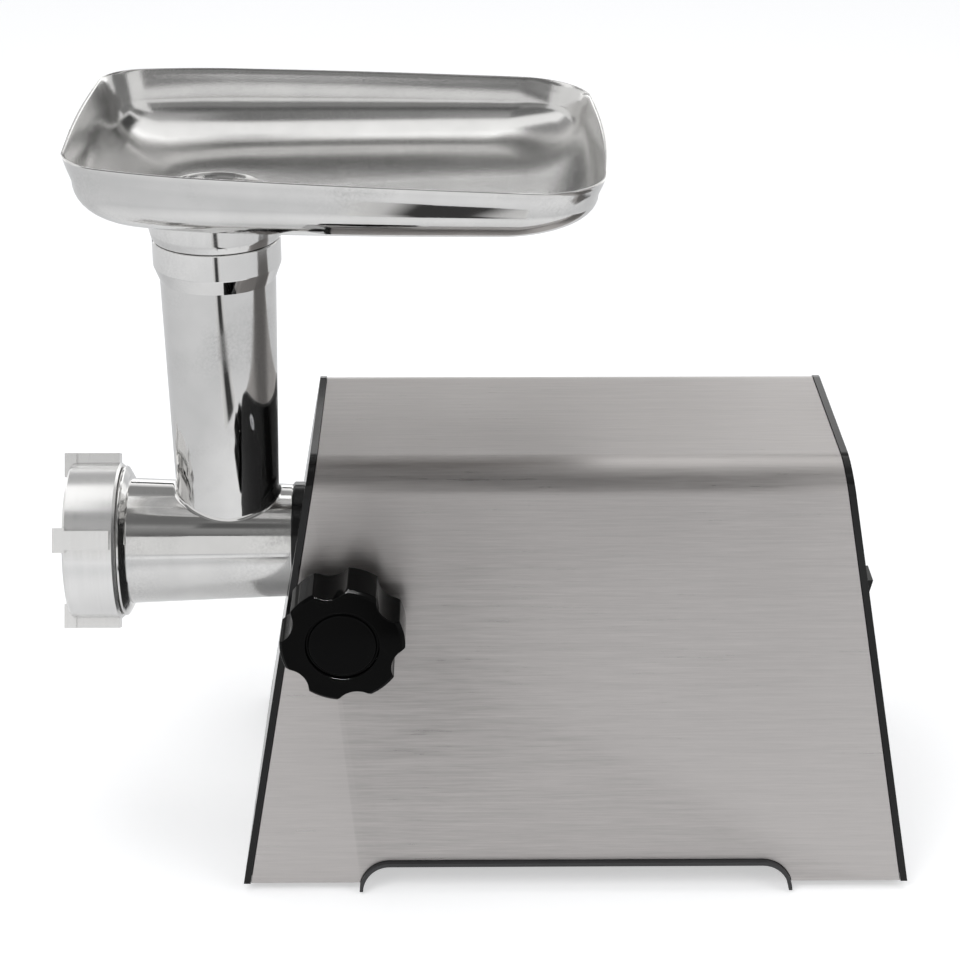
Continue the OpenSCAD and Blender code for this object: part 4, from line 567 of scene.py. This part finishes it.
def fillet_grid():
    """Rows of (point, normal) across the soft line where the throat grows out of the barrel."""
    rows = []
    for i in range(FILLET_RINGS):
        a = 2 * math.pi * i / FILLET_RINGS
        c, s = math.cos(a), math.sin(a)

        def on_barrel(r):
            x = THROAT_X + r * c
            return Vector((x, r * s, AXIS_H + math.sqrt(max(0.0, barrel_radius(x) ** 2 - (r * s) ** 2))))
        rho = 21.0
        for _ in range(6):
            rho = throat_radius(a, on_barrel(rho).z)
        corner = on_barrel(rho)
        far = FILLET_REACH * (0.35 + 0.65 * abs(c))
        top = Vector((THROAT_X + (rho - 0.02) * c, (rho - 0.02) * s, corner.z + FILLET_REACH))
        low = on_barrel(rho + far)
        low.z -= 0.02
        row = []
        for k in range(FILLET_STEPS + 1):
            t = k / FILLET_STEPS
            row.append(top * (1 - t) ** 2 + corner * 2 * t * (1 - t) + low * t * t)
        rows.append(row)
    normals = []
    for i in range(FILLET_RINGS):
        line = []
        for k in range(FILLET_STEPS + 1):
            along = rows[(i + 1) % FILLET_RINGS][k] - rows[i - 1][k]
            across = rows[i][min(k + 1, FILLET_STEPS)] - rows[i][max(k - 1, 0)]
            n = along.cross(across).normalized()
            out = Vector((rows[i][k].x - THROAT_X, rows[i][k].y, 4.0))
            line.append(n if n.dot(out) > 0 else -n)
        normals.append(line)
    return rows, normals


def barrel_profile():
    """The barrel's outside from the threaded end to the neck, as (station, radius)."""
    profile = [(THREAD_END, 29.2), (THREAD_END + 0.5, THREAD_CREST)]
    x = THREAD_END + 1.2
    while x < FLANGE_X - 6.5:
        profile += [(x, THREAD_CREST), (x + 0.9, THREAD_ROOT), (x + 1.5, THREAD_ROOT), (x + 2.4, THREAD_CREST)]
        x += THREAD_PITCH
    profile += [(FLANGE_X - 4.0, THREAD_CREST), (FLANGE_X - 4.0, FLANGE_R - 1.0)]
    profile += [(FLANGE_X - 3.0 - math.cos(a), FLANGE_R - 1.0 + math.sin(a)) for a in (0.4, 0.8, 1.2)]
    profile += [(FLANGE_X - 3.0, FLANGE_R), (FLANGE_X - 2.6, FLANGE_R - 0.1), (FLANGE_X - 2.2, FLANGE_R - 0.5)]
    profile += [(FLANGE_X - 0.6, 29.4), (FLANGE_X - 0.2, 28.5), (FLANGE_X, BARREL_FRONT_R)]
    profile += [(BARREL_X, BARREL_REAR_R), (BARREL_X + 0.001, NECK_R), (NECK_END - 1, NECK_R), (NECK_END, NECK_R - 1)]
    return profile


def head_solid():
    """The casting by booleans: barrel and throat, less their bores, plus the key of the plate's seat."""
    head = as_object(lathe(barrel_profile(), 288), "head_outside", AXIAL)
    rows = [AXIS_H + 1] + [140 + 4 * i for i in range(27)]
    collar = [(COLLAR_Z, 24.05), (254.2, COLLAR_R - 0.1), (254.6, COLLAR_R), (COLLAR_TOP - 0.4, COLLAR_R)]
    collar += [(COLLAR_TOP - 0.15, COLLAR_R - 0.08), (COLLAR_TOP, COLLAR_R - 0.35)]
    combine(head, as_object(throat_solid(rows, collar), "throat_outside", UPRIGHT), "UNION")
    bore = [(CUT_START, PLATE_SEAT_R), (PLATE_SEAT_X, PLATE_SEAT_R), (PLATE_SEAT_X, BORE_R), (BORE_END, BORE_R),
            (BORE_END, SHAFT_HOLE_R), (SOCKET_X, SHAFT_HOLE_R), (SOCKET_X, SOCKET_R), (NECK_END + 1, SOCKET_R)]
    combine(head, as_object(lathe(bore, 192), "bore", AXIAL), "DIFFERENCE")
    rows = [AXIS_H] + [146 + 6 * i for i in range(19)]
    feed = [(FEED_TOP, FEED_R), (FEED_TOP, COLLAR_BORE_R), (COLLAR_TOP - 0.3, COLLAR_BORE_R),
            (COLLAR_TOP + 0.1, COLLAR_BORE_R + 0.4)]
    combine(head, as_object(throat_solid(rows, feed, True, 160), "feed", UPRIGHT), "DIFFERENCE")
    key = bmesh.new()
    bmesh.ops.create_cube(key, size=1.0)
    low, high = place(*KEY_LOW), place(*KEY_HIGH)
    for v in key.verts:
        v.co = Vector([low[i] + (v.co[i] + 0.5) * (high[i] - low[i]) for i in range(3)])
    combine(head, as_object(key, "seat_key", FLAT), "UNION")
    return head


def add_soft_line(mesh):
    """Lays the soft line over the casting as a closed shell. Returns the normal at each of its points."""
    rows, normals = fillet_grid()
    bm = bmesh.new()
    bm.from_mesh(mesh)
    bmesh.ops.remove_doubles(bm, verts=bm.verts, dist=1e-7)
    lookup = {}
    grid = []
    for row, line in zip(rows, normals):
        verts = []
        for p, n in zip(row, line):
            at = place(*p)
            verts.append(bm.verts.new(at))
            lookup[tuple(round(v, 6) for v in at)] = n
        sunk = row[0] * 0.5 + row[-1] * 0.5 - line[FILLET_STEPS // 2] * SHELL_DEPTH
        verts.append(bm.verts.new(place(*sunk)))
        grid.append(verts)
    shell = wall_between(bm, grid + grid[:1])
    for face in shell:
        face.material_index = SOFT_LINE
    bmesh.ops.recalc_face_normals(bm, faces=shell)
    bm.to_mesh(mesh)
    bm.free()
    mesh.update()
    return lookup


def set_head_normals(mesh, soft_line):
    """Normals of the ideal surfaces: round about either axis, the throat's oval and the soft line."""
    barrel_axis, throat_axis = place(0, 0, AXIS_H), place(THROAT_X, 0, 0)

    def rule(face, point):
        if face.material_index == FLAT:
            return face.normal
        if face.material_index == SOFT_LINE:
            return soft_line.get(tuple(round(v, 6) for v in point), face.normal)
        if face.material_index == AXIAL:
            return revolved_normal(point, face.normal, "x", (barrel_axis.y, barrel_axis.z))
        if face.center.z < COLLAR_Z * MM and abs(face.normal.z) < 0.5:
            out = throat_normal(point / MM - SHIFT)
            return out if out.dot(face.normal) > 0 else -out
        return revolved_normal(point, face.normal, "z", (throat_axis.x, throat_axis.y))
    set_normals(mesh, rule)


def make_head():
    """The grinding head's casting, with a soft line where the throat grows out of the barrel."""
    head = head_solid()
    mesh = head.data
    set_head_normals(mesh, add_soft_line(mesh))
    for face in mesh.polygons:
        face.material_index = 0
    bpy.data.objects.remove(head)
    mesh.name = "head_casting"
    add_piece("head_casting", mesh, NODE_BODY["grinder_head"], NODE_SLOT["grinder_head"], "grinder_head")


# ---------------------------------------------------------------- tray

# The tray in millimetres: its ends, half its width at either end, its floor, its rim over the throat,
# the rim's fall along the machine, its wall and the feed hole. Then points to a corner and steps down the bowl.
TRAY_LEFT, TRAY_RIGHT, TRAY_HALF_LEFT, TRAY_HALF_RIGHT = -203.763, 11.4367, 69.0, 83.8
TRAY_FLOOR, TRAY_RIM, TRAY_FALL, TRAY_WALL, HOLE_R = 285.1, 314.9, 0.0395, 1.2, 19.0
CORNER_POINTS, BOWL_STEPS = 15, 14


def round_corner(a, b, c, r, n):
    """n points of an arc of radius r at corner b. With r 0 the arc is as wide as its two sides allow."""
    u, w = (a - b).normalized(), (c - b).normalized()
    half = math.acos(max(-1.0, min(1.0, u.dot(w)))) / 2
    wide = 0.45 * min((a - b).length, (c - b).length) * math.tan(half)
    r = r if r > 0 else wide
    mid = (u + w).normalized()
    centre = b + mid * (r / math.sin(half))
    start = math.atan2(-mid.y, -mid.x)
    side = -1 if u.x * w.y - u.y * w.x > 0 else 1
    sweep = math.pi - 2 * half
    angles = [start + side * (i / (n - 1) - 0.5) * sweep for i in range(n)]
    return [centre + Vector((math.cos(t), math.sin(t))) * r for t in angles]


def tray_path(shrink, out_r, in_r):
    """The tray's outline from above, moved in by shrink, with its left and right corner radii."""
    x0, x1 = TRAY_LEFT + shrink, TRAY_RIGHT - shrink
    xa, xb = x0 + 0.19 * (x1 - x0), x0 + 0.53 * (x1 - x0)
    left, right = TRAY_HALF_LEFT - shrink, TRAY_HALF_RIGHT - shrink
    ya, yb = right - 5, right - 0.6
    corners = [
        (x0, 0, 0), (x0 + 2.8, -left, out_r), (xa, -ya, 0), (xb, -yb, 0), (x1 - 5.6, -right, in_r),
        (x1, 0, 0), (x1 - 5.6, right, in_r), (xb, yb, 0), (xa, ya, 0), (x0 + 2.8, left, out_r)]
    points = []
    for i, b in enumerate(corners):
        a, c = corners[i - 1], corners[(i + 1) % len(corners)]
        points += round_corner(Vector(a[:2]), Vector(b[:2]), Vector(c[:2]), b[2], CORNER_POINTS)
    return points


def bowl_steps():
    """The wall from rim to floor, as (share of the way in, share of the way down)."""
    steps = [(0.05 * t, 0.18 * t) for t in (0.0, 0.15, 0.5)] + [(0.05, 0.18), (0.1, 0.34)]
    for i in range(1, BOWL_STEPS + 1):
        a = math.pi / 2 * i / BOWL_STEPS
        steps.append((0.1 + 0.9 * (1 - math.cos(a)), 0.34 + 0.66 * math.sin(a)))
    return steps


def make_tray():
    """The tray as one closed skin: outside, the feed hole's edge, inside and the rounded rim."""
    rim, floor = tray_path(0, 22, 30), tray_path(30, 16, 22)
    steps = bowl_steps()

    def ring(step, inner, drop=0.0):
        """Points round the wall at a step. inner runs from 0 outside to 1 inside."""
        out = []
        for p, q in zip(rim, floor):
            inward = (q - p).normalized()
            at = p.lerp(q, step[0]) + inward * TRAY_WALL * inner * (1 - step[0])
            high = TRAY_RIM - TRAY_FALL * (at.x - THROAT_X) - drop
            low = TRAY_FLOOR + TRAY_WALL * min(1.0, inner)
            out.append((at.x, at.y, high + (low - high) * step[1]))
        return out

    def hole(z, r=HOLE_R):
        """Points of a circle about the throat, in step with those of the floor's outline."""
        out = []
        for q in floor:
            d = (q - Vector((THROAT_X, 0))).normalized()
            out.append((THROAT_X + d.x * r, d.y * r, z))
        return out
    # Outside from the rim down, the feed hole's edge, then inside back up to the rounded rim
    rings = [ring((0, 0), 0, 0.35)] + [ring(s, 0) for s in steps[1:]]
    rings += [hole(TRAY_FLOOR, 20.6), hole(282.9), hole(283.2)]
    rings += [hole(286.05, 20.7), hole(286.22, 20.95), hole(286.3, 21.4)]
    rings += [ring(s, 1) for s in reversed(steps[1:])]
    rings += [ring((0, 0), 1, 0.35), ring((0, 0), 0.82, 0.1), ring((0, 0), 0.5), ring((0, 0), 0.18, 0.1)]
    bm = bmesh.new()
    grid = [[bm.verts.new(place(*p)) for p in row] for row in rings]
    wall_between(bm, grid + grid[:1])
    bmesh.ops.recalc_face_normals(bm, faces=bm.faces)
    sharpen(bm, 32)
    mesh = bpy.data.meshes.new("tray_casting")
    bm.to_mesh(mesh)
    bm.free()
    add_piece("tray_casting", mesh, NODE_BODY["tray_pan"], NODE_SLOT["tray_pan"], "tray_pan")


# ---------------------------------------------------------------- pieces

make_head()
make_tray()
for part, width, segments, degrees in (
        ("front_panel", 0.8, 3, 30), ("rear_panel", 0.8, 3, 30), ("socket_bezel", 0.4, 2, 30),
        ("lock_knob", 0.7, 3, 30), ("knob_cap", 0.3, 2, 30), ("ring_nut", 0.6, 3, 30), ("tray_neck", 0.5, 2, 30),
        ("base_tray", 0.4, 2, 30), ("rubber_feet", 0.5, 2, 30), ("switch_frame", 0.5, 2, 30),
        ("switch_rocker", 0.4, 2, 30), ("reset_button", 0.3, 2, 30), ("cord_gland", 0.5, 2, 30),
        ("lock_screw", 0.2, 2, 30), ("grinding_plate", 0.2, 1, 30), ("auger", 0.3, 2, 30),
        ("reset_breaker", 0.3, 2, 30)):
    skin(part, width, segments, degrees)
skin("steel_shell", 0.2, 2, 30, uv=lambda p: (p.z - abs(p.y - SHIFT.y * MM), p.x))

for node, obj in frame["nodes"].items():
    if obj.hide_render:
        continue
    for held in obj.material_slots:
        held.material = MATS[NODE_SLOT[node]]


# ---------------------------------------------------------------- studio

# Grey of the room in reflections, and light that the rest gets from all round
ROOM = 0.88
FILL = (0.52, 0.53, 0.55)
# The floor: its paper's two greys, its glow to the camera, and its glow in reflections by distance
PAPER = ((0.61, 0.61, 0.61), (0.64, 0.64, 0.64))
PAPER_GLOW = 0.5
FLOOR_LIFT = [(0.0, 0.3), (0.25, 0.28), (0.42, 0.05), (0.75, 0.12), (1.0, 0.32)]
FLOOR_HALF = 8.0


def set_world():
    """White to the camera, a plain grey room to reflections and a soft fill to everything else."""
    world = bpy.data.worlds.new("studio")
    scene.world = world
    world.use_nodes = True
    tree = world.node_tree
    tree.nodes.clear()
    ray = tree.nodes.new("ShaderNodeLightPath")
    surface = None
    for name, grey in (("Is Camera Ray", (1, 1, 1)), ("Is Glossy Ray", (ROOM,) * 3),
                       ("Is Transmission Ray", (1, 1, 1)), (None, FILL)):
        back = tree.nodes.new("ShaderNodeBackground")
        back.inputs["Color"].default_value = (*grey, 1)
        back.inputs["Strength"].default_value = 1.0
        if name is None:
            tree.links.new(back.outputs[0], surface)
            continue
        mix = tree.nodes.new("ShaderNodeMixShader")
        tree.links.new(ray.outputs[name], mix.inputs[0])
        tree.links.new(back.outputs[0], mix.inputs[2])
        if surface is None:
            out = tree.nodes.new("ShaderNodeOutputWorld")
            surface = out.inputs["Surface"]
        tree.links.new(mix.outputs[0], surface)
        surface = mix.inputs[1]


def set_floor():
    """White table. Reflections see it a little darker in a ring about the object than close by."""
    bm = bmesh.new()
    bmesh.ops.create_grid(bm, x_segments=1, y_segments=1, size=FLOOR_HALF)
    mesh = bpy.data.meshes.new("floor")
    bm.to_mesh(mesh)
    bm.free()
    floor = bpy.data.objects.new("floor", mesh)
    floor.location.z = -0.1 * MM
    scene.collection.objects.link(floor)
    n = Nodes("floor_paper")
    n.tree.nodes.remove(n.shader)
    out = [x for x in n.tree.nodes if x.type == "OUTPUT_MATERIAL"][0]
    speck = n.noise(size=300.0, detail=2.0)
    paper = n.add("ShaderNodeBsdfDiffuse")
    n.link(n.mix(n.ramp(speck, 0.3, 0.7), *PAPER), paper.inputs["Color"])
    lift = n.add("ShaderNodeEmission")
    lift.inputs["Color"].default_value = (1, 1, 1, 1)
    ray = n.add("ShaderNodeLightPath")
    distance = n.add("ShaderNodeVectorMath", operation="LENGTH")
    n.link(n.point, distance.inputs[0])
    mirrored = n.math("ADD", ray.outputs["Is Glossy Ray"], ray.outputs["Is Transmission Ray"])
    strength = n.math("ADD", n.math("MULTIPLY", ray.outputs["Is Camera Ray"], PAPER_GLOW),
                      n.math("MULTIPLY", n.math("MINIMUM", mirrored, 1.0),
                             n.tones(distance.outputs["Value"], FLOOR_LIFT)))
    n.link(strength, lift.inputs["Strength"])
    both = n.add("ShaderNodeAddShader")
    n.link(paper.outputs[0], both.inputs[0])
    n.link(lift.outputs[0], both.inputs[1])
    n.link(both.outputs[0], out.inputs["Surface"])
    mesh.materials.append(n.mat)


def studio_card(name, corners, tones, axis):
    """A card that only shows in reflections. tones holds (share along the axis, grey) pairs."""
    mesh = bpy.data.meshes.new(name)
    mesh.from_pydata([Vector(c) for c in corners], [], [(0, 1, 2, 3)])
    card = bpy.data.objects.new(name, mesh)
    scene.collection.objects.link(card)
    n = Nodes(name)
    n.tree.nodes.remove(n.shader)
    out = [x for x in n.tree.nodes if x.type == "OUTPUT_MATERIAL"][0]
    split = n.add("ShaderNodeSeparateXYZ")
    n.link(n.point, split.inputs[0])
    values = [c[axis] for c in corners]
    share = n.ramp(split.outputs[axis], min(values), max(values))
    glow = n.add("ShaderNodeEmission")
    n.link(n.tones(share, tones), glow.inputs["Color"])
    glow.inputs["Strength"].default_value = 1.0
    n.link(glow.outputs[0], out.inputs["Surface"])
    mesh.materials.append(n.mat)
    card.visible_camera = False
    card.visible_diffuse = False
    card.visible_transmission = False
    card.visible_volume_scatter = False
    card.visible_shadow = False
    return card


set_world()
set_floor()
studio_card("flag_front", [(-1.2, -0.62, 0.52), (-0.15, -0.62, 0.52), (-0.15, -0.62, 1.3), (-1.2, -0.62, 1.3)],
            [(0.0, 0.12), (0.2, 0.25), (0.45, 0.36), (0.7, 0.2), (1.0, 0.18)], 2)
studio_card("flag_centre", [(-0.15, -0.62, 0.54), (0.3, -0.62, 0.54), (0.3, -0.62, 1.3), (-0.15, -0.62, 1.3)],
            [(0.0, 0.14), (0.12, 0.25), (0.3, 0.3), (0.45, 0.12), (0.7, 0.12), (1.0, 0.3)], 2)
studio_card("flag_near", [(-0.07, -0.3, 0.215), (0.17, -0.3, 0.215), (0.17, -0.3, 0.315), (-0.07, -0.3, 0.315)],
            [(0.0, 0.42), (0.25, 0.16), (1.0, 0.12)], 2)
studio_card("ceiling", [(-1.6, -0.62, 1.3), (1.6, -0.62, 1.3), (1.6, 2.2, 1.3), (-1.6, 2.2, 1.3)],
            [(0.0, 0.18), (0.175, 0.2), (0.205, 1.1), (0.42, 1.2), (0.47, 0.35), (1.0, 0.4)], 1)
studio_card("ceiling_near", [(0.02, -0.6, 1.29), (0.55, -0.6, 1.29), (0.55, 0.15, 1.29), (0.02, 0.15, 1.29)],
            [(0.0, 0.4), (0.55, 0.55), (0.72, 1.0), (1.0, 1.1)], 1)
studio_card("ceiling_far_right", [(0.55, 0.1, 1.27), (1.4, 0.1, 1.27), (1.4, 1.3, 1.27), (0.55, 1.3, 1.27)],
            [(0.0, 0.05), (1.0, 0.04)], 1)
studio_card("ceiling_far_left", [(-0.6, 0.5, 1.27), (-0.14, 0.5, 1.27), (-0.14, 1.5, 1.27), (-0.6, 1.5, 1.27)],
            [(0.0, 0.45), (0.2, 0.3), (1.0, 0.3)], 1)
studio_card("ring_soft", [(-0.24, -0.085, 0.33), (-0.186, -0.085, 0.33), (-0.186, 0.075, 0.33), (-0.24, 0.075, 0.33)],
            [(0.0, 1.2), (1.0, 1.4)], 1)
studio_card("soft_back", [(-0.14, 0.5, 1.28), (0.55, 0.5, 1.28), (0.55, 0.92, 1.28), (-0.14, 0.92, 1.28)],
            [(0.0, 1.2), (0.8, 1.7), (1.0, 1.2)], 1)
studio_card("back_left", [(-2.0, 1.6, 0.15), (0.05, 1.6, 0.15), (0.05, 1.6, 1.3), (-2.0, 1.6, 1.3)],
            [(0.0, 1.4), (0.5, 2.0), (0.66, 1.5), (0.8, 0.9), (1.0, 0.5)], 2)
studio_card("back_right", [(0.05, 1.6, 0.15), (2.0, 1.6, 0.15), (2.0, 1.6, 1.3), (0.05, 1.6, 1.3)],
            [(0.0, 1.3), (0.5, 1.8), (0.66, 1.3), (0.8, 0.8), (1.0, 0.5)], 2)
studio_card("back_low", [(-1.6, 1.5, 0.58), (0.3, 1.5, 0.58), (0.3, 1.5, 0.8), (-1.6, 1.5, 0.8)],
            [(0.0, 0.06), (0.75, 0.06), (0.9, 0.3), (1.0, 0.9)], 0)
strip = studio_card("floor_strip", [(-0.1, -0.25, 0.0), (0.1, -0.25, 0.0), (0.1, 0.25, 0.0), (-0.1, 0.25, 0.0)],
                    [(0.0, 0.85), (0.2, 0.66), (0.34, 0.05), (0.66, 0.05), (0.8, 0.66), (1.0, 0.85)], 0)
strip.location = (-0.044, -0.58, 0.003)
strip.rotation_euler = (0, 0, math.radians(-6.5))
strip.scale = (0.8, 1.0, 1.0)
studio_card("flag_right", [(0.95, -0.35, 0.2), (0.95, 0.45, 0.2), (0.95, 0.45, 0.9), (0.95, -0.35, 0.9)],
            [(0.0, 0.25), (1.0, 0.2)], 2)
for lamp in (area_light("key", (-1.1, -1.4, 1.9), (0, 0, 0.15), (1.2, 1.2), 22),
             area_light("fill", (1.5, -1.0, 1.1), (0, 0, 0.15), (1.0, 1.4), 9),
             area_light("top", (0.0, 0.3, 2.0), (0, 0, 0.1), (1.6, 1.2), 12)):
    lamp.visible_glossy = False
# A narrow lamp that only the knob and its cap answer to, for the thin highlights on their edges
glint = area_light("glint", (-0.06, -0.55, 1.05), (-0.06, -0.09, 0.13), (0.7, 0.09), 260.0)
glint.visible_diffuse = False
shiny = bpy.data.collections.new("shiny_plastic")
for name in ("lock_knob_skin", "knob_cap_skin"):
    shiny.objects.link(bpy.data.objects[name])
glint.light_linking.receiver_collection = shiny
set_camera()
scene.view_settings.view_transform = "Standard"
